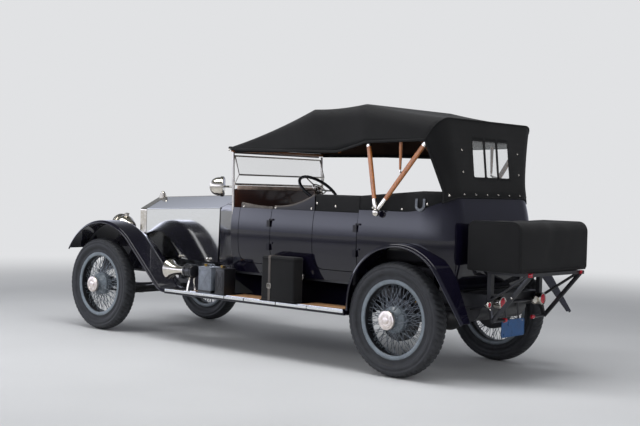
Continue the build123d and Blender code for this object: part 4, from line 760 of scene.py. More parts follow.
    def camera(self, scene):
        """The camera at the photograph's view."""
        yaw, pitch, roll = (math.radians(turn) for turn in CAMERA_TURNS)
        ahead = np.array([math.cos(yaw) * math.cos(pitch), math.sin(yaw) * math.cos(pitch), -math.sin(pitch)])
        right = np.array([math.sin(yaw), -math.cos(yaw), 0.0])
        up = np.cross(right, ahead)
        turned_right = right * math.cos(roll) + up * math.sin(roll)
        turned_up = up * math.cos(roll) - right * math.sin(roll)
        data = bpy.data.cameras.new("photo_view")
        data.sensor_fit = "HORIZONTAL"
        data.sensor_width = SENSOR
        data.lens = CAMERA_FOCAL / CAMERA_WIDTH * SENSOR
        data.clip_end = 500.0
        camera = bpy.data.objects.new("photo_view", data)
        stand(camera, CAMERA_PLACE, turned_right, turned_up, -ahead)
        scene.camera = camera


class CAR_OT_wheels(Operator):
    """Wire wheels with laced spokes, hubs and caps, and treaded tyres"""

    bl_idname = "car.wheels"
    bl_label = "Wheels and tyres"

    def execute(self, context):
        sizes = context.scene.car_sizes
        for where, x in (("front", FRONT_X), ("rear", REAR_X)):
            for side, s in SIDES:
                body = f"wheel_{where}_{side}"
                centre = np.array([x, s * WHEEL_Y, AXLE_Z])
                out = np.array([0.0, s, 0.0])
                self.rim(f"rim_{where}_{side}", centre, out, body)
                self.spokes(f"spokes_{where}_{side}", centre, out, body, sizes)
                self.hub(f"hub_{where}_{side}", centre, out, body, where == "rear")
                self.tyre(f"tyre_{where}_{side}.tread", centre, out, body, f"tyre_{where}_{side}", sizes)
        return {"FINISHED"}

    def rim(self, name, centre, out, body):
        """Steel rim: a closed lip section turned about the axle on both sides, a well between in black enamel as
        painted shade, and the valve.
        """
        heap = Heap()
        lip = mm([(42, 316), (44, 314.5), (53.5, 309.5), (54.8, 304), (54, 290), (52.5, 281), (48, 276.5),
                  (43, 276.5), (41, 280), (41, 310)])
        for flip in (1.0, -1.0):
            rows = lip * (flip, 1.0)
            heap.collar(rows if flip > 0 else rows[::-1], centre, out, 96)
        heap.settled(name, "wheel", body, [body], sharp=50.0)
        # The well between the lips is black enamel, which stands for the shade inside the rim: painted shade
        heap = Heap()
        heap.collar(mm([(-45, 315.2), (45, 315.2), (45, 279), (30, 280), (20, 274), (-20, 274), (-30, 280),
                        (-45, 279)]), centre, out, 96)
        heap.settled(name + ".well", "enamel", body, sharp=40.0)
        heap = Heap()
        a = math.radians(140.0)
        arm = np.array([math.cos(a), 0.0, math.sin(a)])
        heap.turned(mm([(0, 4), (30, 4), (31, 5.5), (42, 5.5), (44, 2)]), centre + arm * 0.274, -arm, 12)
        heap.settled(name + ".valve", "brass", body)

    def spokes(self, name, centre, out, body, sizes):
        """Spokes from hub to rim: crossed pairs in three rows, thick at both ends and thin in the shank."""
        heap = Heap()
        u, v = np.array(AHEAD), np.array(UP)
        # Row: hub radius, hub offset outward, rim offset outward, lacing turn in degrees, number of crossed pairs
        for hub_r, hub_out, rim_out, lace, pairs in ((0.067, 0.092, 0.010, 24.0, sizes.spoke_pairs // 2),
                                                     (0.094, 0.030, 0.004, 30.0, sizes.spoke_pairs),
                                                     (0.097, -0.006, -0.010, 24.0, sizes.spoke_pairs)):
            a = np.repeat(angles(pairs), 2)
            a = a + np.tile([0.0, np.pi / pairs], pairs)
            b = a + np.radians(lace) * np.tile([1.0, -1.0], pairs)
            foot = centre + out * hub_out + hub_r * (np.cos(a)[:, None] * u + np.sin(a)[:, None] * v)
            head = centre + out * rim_out + 0.2765 * (np.cos(b)[:, None] * u + np.sin(b)[:, None] * v)
            share = np.array([0.0, 0.03, 0.06, 0.925, 0.93, 1.0])
            thick = np.array([1.7, 1.5, 1.0, 1.0, 1.9, 1.7]) * sizes.spoke_radius
            path = foot[:, None] + (head - foot)[:, None] * share[None, :, None]
            run = unit(head - foot)
            side = unit(np.cross(run, out))
            rise = np.cross(run, side)
            t = angles(6)
            turn = side[:, None] * np.cos(t)[:, None] + rise[:, None] * np.sin(t)[:, None]
            heap.grids(path[:, :, None] + turn[:, None] * thick[None, :, None, None])
        heap.settled(name, "wire", body)

    def hub(self, name, centre, out, body, drum):
        """Hub shell, ringed cap with its lock nut, flange bolts and, at the rear, a ribbed brake drum."""
        heap = Heap()
        heap.collar(mm([(-20, 26), (-20, 106), (6, 106), (10, 101), (24, 101), (28, 105), (38, 105), (48, 98),
                        (60, 78), (76, 68), (100, 66), (108, 70), (112, 70), (112, 26)]), centre, out, 64)
        a = angles(10)
        places = centre + out * 0.052 + 0.088 * np.stack([np.cos(a), 0 * a, np.sin(a)], -1)
        studs(heap, places, out, 0.007, 6)
        heap.settled(name, "wheel", body)
        heap = Heap()
        heap.turned(mm([(110, 20), (110, 73), (114, 75.5), (130, 75.5), (135, 72), (137, 60), (141, 58), (142, 46),
                        (139, 44), (139, 30), (144, 28), (147, 20), (148, 10), (147, 1)]), centre, out, 64)
        heap.settled(name + ".cap", "cap", body)
        if drum:
            heap = Heap()
            heap.collar(mm([(-79, 40), (-79, 158), (-74, 170), (-60, 170), (-58, 166), (-46, 166), (-44, 170),
                            (-30, 170), (-22, 164), (-18, 150), (-16, 120), (-16, 40)]), centre, out, 64)
            heap.settled(name + ".drum", "enamel", body)

    def tyre(self, name, centre, out, body, node, sizes):
        """Tyre section turned about the axle; grooves are cut where a wave round the tyre and across it is high."""
        half = mm([(45.7, 315.3), (52, 312.5), (54.5, 311.5), (56, 315), (53, 321), (50.5, 330), (51.5, 340),
                   (56, 349), (60, 354), (62.5, 356), (66, 362), (68.5, 370), (69, 379), (69, 386), (66.5, 388.5),
                   (66.8, 396), (66.5, 403.5), (68.8, 405.5), (68, 411.5), (64.5, 417), (61, 427), (55, 433.5),
                   (48, 438), (39, 441.5), (29, 444.3), (19, 446.2), (9, 447.2)])
        rows = np.concatenate([half, [(0.0, 0.4475)], half[::-1] * (-1, 1)])
        count, blocks = 480, 60
        a = angles(count)
        across = rows[:, :1]
        r = np.broadcast_to(rows[:, 1:], (len(rows), count)).copy()
        wave = np.cos(a[None] * blocks + np.sign(across + 1e-9) * 0.9 + across * 60.0)
        groove = 1.0 / (1.0 + np.exp(-(wave - 0.45) * 14.0))
        band = np.clip((rows[:, 1:] - 0.424) / 0.006, 0, 1)
        middle = np.clip((np.abs(across) - 0.006) / 0.004, 0, 1) * (np.abs(across) < 0.062)
        r -= sizes.tread_depth * groove * band * middle
        u, v = np.array(AHEAD), np.array(UP)
        spoke = np.cos(a)[:, None] * u + np.sin(a)[:, None] * v
        heap = Heap()
        heap.grid(centre + across[..., None] * out + r[..., None] * spoke[None], True, True)
        heap.settled(name, "rubber", body, [node], sharp=60.0)


# Hood sections: angle above forward, reach, half-width, corner radius, hem distance from the pivot line
PIVOT = np.array([station(0.232), 0.0, 1.265])
BOWS = np.array([(16.4, 1.845, 0.640, 0.040, 1.780), (47.5, 1.135, 0.690, 0.110, 0.650),
                 (75.7, 0.895, 0.690, 0.110, 0.575), (127.0, 0.930, 0.680, 0.130, 0.715)])
FOOT_CORNER = np.array([station(-0.170), 0.430])
HALF_ROWS = 7
# The body's top runs level at the quarter and rises to the back on a circle
QUARTER_TOP = 1.280
RISE_RADIUS = 0.630
RISE_LENGTH = 0.408
BAND_BACK = 1.445
# The hood's foot on the band: height, radius of its corner in plan, how far behind the corner's centre it starts
FOOT_Z = BAND_BACK + 0.002
FOOT_RADIUS = 0.216
FOOT_START = 0.148
# Top of the rear panel, on the rear bow
REAR_TURN = math.radians(BOWS[3, 0])
REAR_HIGH = PIVOT[2] + BOWS[3, 1] * math.sin(REAR_TURN)
REAR_FAR = PIVOT[0] + BOWS[3, 1] * math.cos(REAR_TURN)
# Rear lights: half-width of the middle one, inner and outer edge of a side one, upper and lower edge as shares
LIGHT_MIDDLE, LIGHT_IN, LIGHT_OUT = 0.080, 0.098, 0.258
LIGHT_ROWS = (0.277, 0.797)
# Lines over the hood run straight along the car up to this y, and spread beyond it
STRAIGHT_Y, SPREAD_Y = 0.3, 0.55
TOP_YS = np.unique(np.concatenate([
    np.linspace(SPREAD_Y, STRAIGHT_Y, 5), np.linspace(LIGHT_OUT, STRAIGHT_Y, 3), np.linspace(LIGHT_IN, LIGHT_OUT, 6),
    np.linspace(LIGHT_MIDDLE, LIGHT_IN, 2), np.linspace(0.0, LIGHT_MIDDLE, 4)]).round(5))[::-1]
# Circle of the body side's section: radius, height of its centre, distance of its centre beyond the middle
WALL_RADIUS, WALL_Z, WALL_Y = 1.18838, 1.05141, 0.49818
# Plan of the body side: it turns inward on a circle ahead of a station
BEND_START, BEND_RADIUS = 1.200, 5.943


def wall_out(z):
    """Outer y of the body side at a height, on the circle of its section: sqrt(R^2 - (z - c)^2) - d."""
    return np.sqrt(WALL_RADIUS ** 2 - (np.asarray(z, float) - WALL_Z) ** 2) - WALL_Y


def wall_bend(ahead):
    """How far the body side has turned inward at a station: R - sqrt(R^2 - d^2) past its straight run."""
    past = np.clip(np.asarray(ahead, float) - BEND_START, 0.0, None)
    return BEND_RADIUS - np.sqrt(BEND_RADIUS ** 2 - past ** 2)


def rise_line(x):
    """Height of the body's top at x: quarter top + R - sqrt(R^2 - d^2), d the distance behind the rear axle."""
    behind = np.clip(REAR_X - np.asarray(x, float), 0.0, RISE_LENGTH)
    return QUARTER_TOP + RISE_RADIUS - np.sqrt(RISE_RADIUS ** 2 - behind ** 2)


def bow_half(row, ys):
    """Half outline of a bow, from hem over the corner arc to the top at given y values: points of (y, distance)."""
    _, reach, half, corner, hem = row
    a = np.linspace(0, np.pi / 2, HALF_ROWS)
    side = np.stack([np.full(HALF_ROWS, half), np.linspace(hem, reach - corner, HALF_ROWS)], -1)
    arc = np.stack([half - corner + corner * np.cos(a), reach - corner + corner * np.sin(a)], -1)
    top = np.stack([top_at(ys, half - corner), np.full(len(ys), reach)], -1)
    return np.concatenate([side[:-1], arc[:-1], top])


def top_at(ys, limit):
    """Stretch y values beyond the straight lines to reach a limit."""
    spread = (ys - STRAIGHT_Y) * (limit - STRAIGHT_Y) / (SPREAD_Y - STRAIGHT_Y)
    return np.where(ys <= STRAIGHT_Y, ys, STRAIGHT_Y + spread)


def foot_half(ys):
    """Half outline of the hood's foot on the rounded corner: arc from its start to the back, then straight."""
    a = np.linspace(math.asin(FOOT_START / FOOT_RADIUS), np.pi / 2, 2 * HALF_ROWS - 1)
    arc = np.stack([FOOT_CORNER[1] + FOOT_RADIUS * np.cos(a), FOOT_CORNER[0] - FOOT_RADIUS * np.sin(a)], -1)
    top = np.stack([top_at(ys, FOOT_CORNER[1]), np.full(len(ys), FOOT_CORNER[0] - FOOT_RADIUS)], -1)
    return np.concatenate([arc[:-1], top])


def in_plane(flat, turn):
    """Points of (y, distance) on a plane through the pivot line, an angle above forward, as points of the car."""
    return np.stack([PIVOT[0] + flat[:, 1] * math.cos(turn), flat[:, 0],
                     PIVOT[2] + flat[:, 1] * math.sin(turn)], -1)


def hood_sections():
    """The six sections of the hood as points in the car's frame: four bows, the foot and the skirt on the band."""
    lines = []
    for row in BOWS:
        lines.append(in_plane(bow_half(row, TOP_YS), math.radians(row[0])))
    flat = foot_half(TOP_YS)
    lines.append(np.stack([flat[:, 1], flat[:, 0], np.full(len(flat), FOOT_Z)], -1))
    # The skirt ends on the wall, a little below the body's top and 5 mm outside the wall
    z = rise_line(flat[:, 1]) - 0.010
    corner_x, corner_y = FOOT_CORNER
    grow = (wall_out(z) + 0.005 - corner_y) / FOOT_RADIUS
    skirt_y = np.where(flat[:, 0] > corner_y, corner_y + (flat[:, 0] - corner_y) * grow, flat[:, 0])
    lines.append(np.stack([corner_x + (flat[:, 1] - corner_x) * grow, skirt_y, z], -1))
    lines = np.array(lines)
    other = lines[:, -2::-1] * (1.0, -1.0, 1.0)
    return np.concatenate([lines, other], 1)


def hood_surface(values, sag=0.0):
    """Points between the sections at fractional section numbers: straight between two bows, sunk by a parabola."""
    sections = hood_sections()
    values = np.asarray(values, float)
    low = np.minimum(values.astype(int), len(sections) - 2)
    f = (values - low)[:, None, None]
    points = sections[low] * (1 - f) + sections[low + 1] * f
    if sag:
        depth = np.array([1.6, 1.0, 1.0, 0.5, 0.0])[low][:, None, None] * sag
        along = np.gradient(points, axis=0)
        round_it = np.gradient(points, axis=1)
        normal = np.cross(along, round_it)
        normal = normal / np.maximum(np.linalg.norm(normal, axis=-1, keepdims=True), 1e-9)
        inward = PIVOT + np.array([0.0, 0.0, 0.3]) - points
        inward[..., 1] = -points[..., 1]
        normal = normal * np.sign((normal * inward).sum(-1, keepdims=True))
        edge = np.minimum(1.0, np.arange(points.shape[1]) / HALF_ROWS)
        edge = np.minimum(edge, edge[::-1])[None, :, None]
        points = points + normal * depth * 4 * f * (1 - f) * (0.35 + 0.65 * edge)
    return points


class CAR_OT_hood(Operator):
    """Hood of black duck over its bows, with rear lights, bindings, studs, header and the padded band"""

    bl_idname = "car.hood"
    bl_label = "Hood"

    def execute(self, context):
        sizes = context.scene.car_sizes
        self.cloth(sizes)
        self.lights()
        self.trims(sizes)
        self.band()
        return {"FINISHED"}

    def cloth(self, sizes):
        """One curved sheet; the three lights are left out of its rear panel."""
        rear = 3 + np.concatenate([np.linspace(0, LIGHT_ROWS[0], 6)[:-1], np.linspace(*LIGHT_ROWS, 10)[:-1],
                                   np.linspace(LIGHT_ROWS[1], 1, 6)[:-1]])
        values = np.concatenate([np.linspace(0, 1, 22)[:-1], np.linspace(1, 2, 12)[:-1], np.linspace(2, 3, 16)[:-1],
                                 rear, np.linspace(4, 5, 5)])
        points = hood_surface(values, sizes.hood_sag)
        faces = quads(*points.shape[:2])
        flat = points.reshape(-1, 3)
        middle_y = np.abs(flat[faces, 1].mean(1))
        row = np.repeat(values, points.shape[1])[faces].mean(1)
        in_rows = (row > 3 + LIGHT_ROWS[0]) & (row < 3 + LIGHT_ROWS[1])
        gap = (middle_y < LIGHT_MIDDLE) | ((middle_y > LIGHT_IN) & (middle_y < LIGHT_OUT))
        heap = Heap()
        heap.points.append(flat)
        heap.faces = faces[~(in_rows & gap)].tolist()
        item = heap.piece("hood_cloth", closed=False, sharp=70.0)
        data = item.data
        settle(item, "duck", "body", ["hood_cover"])
        data.materials.append(finish("lining"))
        sample = data.polygons[len(data.polygons) // 8]
        if sample.normal.dot(sample.center - Vector(PIVOT)) < 0:
            data.flip_normals()
        thick = item.modifiers.new("thickness", "SOLIDIFY")
        thick.thickness = 0.003
        thick.offset = -1.0
        thick.material_offset = 1

    def on_rear(self, y, z, lift):
        """Point of the rear panel at y and z, lifted outward along the panel's normal."""
        y, z = np.asarray(y, float), np.asarray(z, float)
        near = FOOT_CORNER[0] - FOOT_RADIUS
        f = (REAR_HIGH - z) / (REAR_HIGH - FOOT_Z)
        normal = unit([FOOT_Z - REAR_HIGH, 0.0, REAR_FAR - near])
        base = np.stack([REAR_FAR + (near - REAR_FAR) * f, y, z], -1)
        sink = 0.5 * bpy.context.scene.car_sizes.hood_sag * 4 * f * (1 - f)
        return base + normal * (lift - sink[..., None])

    def lights(self):
        """Clear lights set in bound frames: a grid for each light and a flat ring with round corners over its edge."""
        panes, frames = Heap(), Heap()
        top, low = (REAR_HIGH - (REAR_HIGH - FOOT_Z) * f for f in LIGHT_ROWS)
        aside = (LIGHT_IN + LIGHT_OUT) / 2
        for middle in (-aside, 0.0, aside):
            y = np.linspace(middle - 0.084, middle + 0.084, 9)
            z = np.linspace(low - 0.004, top + 0.004, 13)
            zz, yy = np.meshgrid(z, y, indexing="ij")
            panes.grid(self.on_rear(yy, zz, -0.0015))
            outlines = []
            for grow, lift in ((-0.004, 0.0), (-0.004, 0.003), (0.008, 0.003), (0.008, 0.0)):
                edge = round_bar(2 * LIGHT_MIDDLE + 2 * grow, top - low + 2 * grow, 0.016 + grow * 0.5, 5)
                outlines.append(self.on_rear(middle + edge[:, 0], (top + low) / 2 + edge[:, 1], lift))
            frames.grid(np.array(outlines), True, True)
        panes.settled("rear_lights", "light", "body", ["hood_lights"], closed=False)
        frames.settled("rear_light_frames", "duck")

    def trims(self, sizes):
        """Bindings on the hems, the front edge, the rear bow and the skirt, and studs on skirt and quarters."""
        heap = Heap()
        values = np.concatenate([np.linspace(0, 3, 60), np.linspace(3.05, 5, 24)])
        for column in (0, -1):
            line = hood_surface(values, sizes.hood_sag)[:, column]
            heap.bar(line, round_bar(0.020, 0.009, 0.004, 3), LEFT)
        for at in (0.0, 3.0, 4.97):
            heap.bar(apart(hood_surface([at])[0]), ring(0.0055 if at else 0.010, 8), (0.25, 0.0, 0.97))
        heap.settled("hood_bindings", "duck")
        heap = Heap()
        line = hood_surface([4.45])[0]
        run = run_along(line)
        marks = np.linspace(0.05, run[-1] - 0.05, 8)
        places = np.stack([np.interp(marks, run, line[:, k]) for k in range(3)], -1)
        normals = places - np.array([station(0.2), 0.0, 1.30])
        normals[:, 2] = 0.02
        normals[np.abs(places[:, 1]) < 0.42] = (-1.0, 0.0, 0.1)
        studs(heap, places, normals, sizes.stud)
        for y in (-0.40, 0.40):
            places = self.on_rear(np.full(2, y), np.array([1.60, 1.77]), 0.002)
            studs(heap, places, (-1.0, 0.0, 0.08), sizes.stud)
        for s in (1.0, -1.0):
            corner = hood_surface([0.0])[0][HALF_ROWS if s > 0 else -HALF_ROWS - 1]
            studs(heap, [corner + np.array([0.006, s * 0.004, -0.012])], [(0.6, s * 0.8, 0.0)], sizes.stud * 1.2)
            studs(heap, [(station(x), s * 0.657, z) for x, z in ((0.31, 1.300), (0.02, 1.300), (-0.22, 1.345))],
                  (0.0, s, 0.0), sizes.stud)
        heap.settled("hood_studs", "nickel")

    def band(self):
        """Padded band round the back of the body, carried round its plan line; the band's clips; the hood's header."""
        a = np.linspace(0, np.pi / 2, 14)[1:]
        out = 0.226
        side = np.stack([np.linspace(station(0.440), station(-0.170), 16), np.full(16, 0.656)], -1)
        arc = np.stack([FOOT_CORNER[0] - out * np.sin(a), FOOT_CORNER[1] + out * np.cos(a)], -1)
        back = np.stack([np.full(8, FOOT_CORNER[0] - out), np.linspace(0.40, 0.0, 8)], -1)
        plan = np.concatenate([side, arc, back])
        plan = np.concatenate([plan, plan[-2::-1] * (1.0, -1.0)])
        run = unit(np.gradient(plan, axis=0))
        inward = np.stack([-run[:, 1], run[:, 0]], -1)
        inward = inward * np.sign((inward * (np.array([station(0.2), 0.0]) - plan)).sum(-1, keepdims=True))
        climb = np.clip((station(0.44) - plan[:, 0]) / 0.61, 0, 1)
        top = 1.395 + 0.050 * climb
        low = (rise_line(plan[:, 0]) + 0.0006)[:, None]
        arch = np.linspace(0, np.pi, 9)
        depth = np.concatenate([[0.004, 0.0], 0.023 - 0.023 * np.cos(arch), [0.046, 0.042]])
        height = np.concatenate([[0.0, 0.35], 0.80 + 0.20 * np.sin(arch), [0.35, 0.0]])
        z = low + (top[:, None] - low) * height[None]
        shrink = np.clip(0.656 - wall_out(low) - 0.002, 0.0, None)
        xy = plan[:, None] + inward[:, None] * (depth[None] + shrink * (1 - depth[None] / 0.046))[..., None]
        heap = Heap()
        heap.grid(np.concatenate([xy, z[..., None]], -1), False, True, True)
        item = heap.settled("hood_band_pad", "duck", "body", ["hood_band"], sharp=60.0)
        clips = Heap()
        for _, s in SIDES:
            turn = np.linspace(np.pi, 2 * np.pi, 13)
            hook = np.stack([0.036 * np.cos(turn), 0.036 * np.sin(turn)], -1)
            hook = np.concatenate([[(-0.036, 0.052), (-0.036, 0.026)], hook, [(0.036, 0.026), (0.036, 0.052)]])
            y = np.interp(hook[:, 1], [-0.036, 0.052], [0.668, 0.662])
            line = np.stack([station(-0.160) + hook[:, 0], s * y, 1.3335 + hook[:, 1]], -1)
            clips.bar(line, round_bar(0.022, 0.006, 0.002, 3), LEFT)
        clips.settled("band_clips", "cast")
        header = block_piece("hood_header", (0.404, -0.570, 1.735), (0.436, 0.570, 1.772), 0.006)
        settle(header, "mahogany")


class CAR_OT_sticks(Operator):
    """Ash bows and sticks of the hood with nickel sockets, joints and pivots, and covered rails"""

    bl_idname = "car.sticks"
    bl_label = "Hood sticks"

    def execute(self, context):
        wood, metal, rails = Heap(), Heap(), Heap()
        for row, sink in zip(BOWS[1:], (0.0205, 0.015, 0.024)):
            turn = math.radians(row[0])
            inner = row.copy()
            inner[1:3] -= sink + 0.017
            inner[3] = max(0.02, inner[3] - sink - 0.017)
            flat = bow_half(inner, TOP_YS)
            line = in_plane(apart(np.concatenate([flat, flat[-2::-1] * (-1.0, 1.0)])), turn)
            across = (-math.sin(turn), 0.0, math.cos(turn))
            wood.bar(line, round_bar(0.034, 0.026, 0.010, 4), across)
        for s in (1.0, -1.0):
            foot = np.array([PIVOT[0], s * 0.7155, PIVOT[2]])
            for row in (BOWS[2], BOWS[3]):
                turn = math.radians(row[0])
                lead = np.array([math.cos(turn), 0.0, math.sin(turn)])
                head = np.array([PIVOT[0], s * (row[2] - 0.040), PIVOT[2]]) + lead * (row[4] + 0.05)
                share = np.linspace(0.13, 1.0, 12)
                path = foot + (head - foot) * share[:, None]
                swell = 1.0 + 0.18 * np.sin(np.pi * (share - 0.13) / 0.87)
                wood.bar(path, round_bar(0.034, 0.020, 0.008, 4), LEFT, swell)
                for at, end, swell in ((0.045, 0.18, (0.75, 1.0, 1.04, 1.06, 1.02)),
                                       (0.86, 1.01, (1.10, 1.14, 1.10, 1.06, 1.02))):
                    socket = foot + (head - foot) * np.linspace(at, end, 5)[:, None]
                    metal.bar(socket, round_bar(0.036, 0.024, 0.009, 4), LEFT, swell)
            # A short stick stands on the rear one by a bright joint and carries the rail
            x, y = station(0.057), s * 0.645
            wood.bar(np.linspace((x, y, 1.610), (x, y, 1.842), 8), round_bar(0.030, 0.020, 0.008, 4), LEFT,
                     np.linspace(0.62, 1.0, 8))
            joint = smooth_rows([(x, y, 1.622), (x, y, 1.592), (station(0.030), s * 0.660, 1.578),
                                 (station(0.004), s * 0.676, 1.570)], 4)
            metal.bar(joint, round_bar(0.018, 0.010, 0.004, 3), LEFT)
            metal.turned(mm([(-16, 10), (-16, 24), (-12, 27), (10, 27), (14, 22), (16, 10), (22, 9), (23, 1)]), foot,
                         (0.0, s, 0.0), 24)
            second, third, front = BOWS[1], BOWS[2], BOWS[0]
            points = []
            for row, far in ((third, third[4] + 0.02), (second, second[4] + 0.02), (front, 1.79)):
                turn = math.radians(row[0])
                points.append((PIVOT[0] + far * math.cos(turn), s * (row[2] - 0.045),
                               PIVOT[2] + far * math.sin(turn) - (0.014 if row is front else 0.0)))
            for a, b in zip(points, points[1:]):
                rails.bar(np.linspace(a, b, 6), round_bar(0.014, 0.028, 0.005, 3))
        turn, far = math.radians(BOWS[0, 0]), 1.805
        x, z = PIVOT[0] + far * math.cos(turn), PIVOT[2] + far * math.sin(turn) - 0.014
        wood.bar(np.linspace((x, -0.62, z), (x, 0.62, z), 8), round_bar(0.030, 0.026, 0.008, 4))
        wood.settled("hood_sticks", "ash", "body", ["hood_frame"])
        rails.settled("hood_rails", "duck")
        metal.settled("hood_stick_sockets", "nickel")
        return {"FINISHED"}


class CAR_OT_seats(Operator):
    """Pleated hide cushions and squabs on the two bench seats"""

    bl_idname = "car.seats"
    bl_label = "Seats"

    def execute(self, context):
        sizes = context.scene.car_sizes
        # Pad: seat, half-width, low and high corner in station and height, lean of its top, pleats across
        pads = (("front_cushion", 0.555, (1.080, 0.845), (1.450, 0.985), 0.0, 12),
                ("front_squab", 0.555, (0.950, 0.975), (1.058, 1.285), -0.02, 12),
                ("rear_cushion", 0.495, (-0.150, 0.850), (0.350, 0.990), 0.0, 11),
                ("rear_squab", 0.495, (-0.285, 0.975), (-0.175, 1.370), -0.03, 11))
        for name, half, low, high, lean, pleats in pads:
            item = settle(self.pad(name, half, low, high, lean, pleats, sizes), "hide")
        for name, node, half, low, high in (
                ("front_seat_box", "front_seat", 0.560, (0.930, 0.6905), (1.455, 0.850)),
                ("rear_seat_box", "rear_seat", 0.500, (-0.315, 0.6905), (0.355, 0.855))):
            item = block_piece(name, (station(low[0]), -half, low[1]), (station(high[0]), half, high[1]), 0.02)
            settle(item, "hide", "body", [node])
        heap = Heap()
        for x0, x1, z0, z1, half in ((0.926, 0.952, 0.84, 1.298, 0.560), (-0.312, -0.286, 0.85, 1.383, 0.500)):
            heap.block((station(x0), -half, z0), (station(x1), half, z1), 0.010, 4)
        heap.settled("seat_backs", "hide")
        return {"FINISHED"}

    def pad(self, name, half, low, high, lean, pleats, sizes):
        """A rounded block, swollen as cloth under pressure, then pressed into pleats by a rectified sine across it."""
        give, depth, fade = 0.012, 0.016, 0.03
        heap = Heap()
        heap.block((station(low[0]) + give, -half + give, low[1] + give), (station(high[0]) - give, half - give,
                                                                           high[1] - give), 0.035, 5)
        item = heap.piece(name)
        remesh = item.modifiers.new("remesh", "REMESH")
        remesh.mode = "VOXEL"
        remesh.voxel_size = 0.014
        self.apply(item)
        before = self.points(item)
        scene = bpy.context.scene
        cloth = item.modifiers.new("swell", "CLOTH")
        cloth.settings.use_pressure = True
        cloth.settings.uniform_pressure_force = 4.0
        cloth.settings.effector_weights.gravity = 0.0
        cloth.settings.quality = 4
        for number in range(1, 15):
            scene.frame_set(number)
        self.apply(item)
        scene.frame_set(1)
        move = self.points(item) - before
        far = np.linalg.norm(move, axis=1, keepdims=True)
        after = before + move * np.minimum(1.0, sizes.swell / np.maximum(far, 1e-9))
        upright = high[1] - low[1] > high[0] - low[0]
        middle_x = station((low[0] + high[0]) / 2)
        middle_z = (low[1] + high[1]) / 2
        pitch = 2 * half / pleats
        groove = np.abs(np.sin(np.pi * (after[:, 1] + half) / pitch)) ** 0.5 - 1.0
        if upright:
            front = np.clip((after[:, 0] - middle_x) / fade, 0, 1)
            after[:, 0] += depth * groove * front
            after[:, 0] += lean * (after[:, 2] - middle_z) / (high[1] - low[1])
        else:
            top = np.clip((after[:, 2] - middle_z) / fade, 0, 1)
            after[:, 2] += depth * groove * top
        after = np.clip(after, (station(low[0]) - 0.004, -half, low[1] - 0.004), (station(high[0]) + 0.012, half,
                                                                                  high[1] + 0.015))
        item.data.vertices.foreach_set("co", after.ravel())
        item.data.update()
        item.data.shade_smooth()
        fine = item.modifiers.new("smooth", "SUBSURF")
        fine.levels = 1
        fine.render_levels = 1
        return item

    def apply(self, item):
        """Make the modifiers' result the mesh."""
        graph = bpy.context.evaluated_depsgraph_get()
        data = bpy.data.meshes.new_from_object(item.evaluated_get(graph))
        item.modifiers.clear()
        item.data = data

    def points(self, item):
        """Give all points of a mesh as one array."""
        flat = np.zeros(len(item.data.vertices) * 3)
        item.data.vertices.foreach_get("co", flat)
        return flat.reshape(-1, 3)


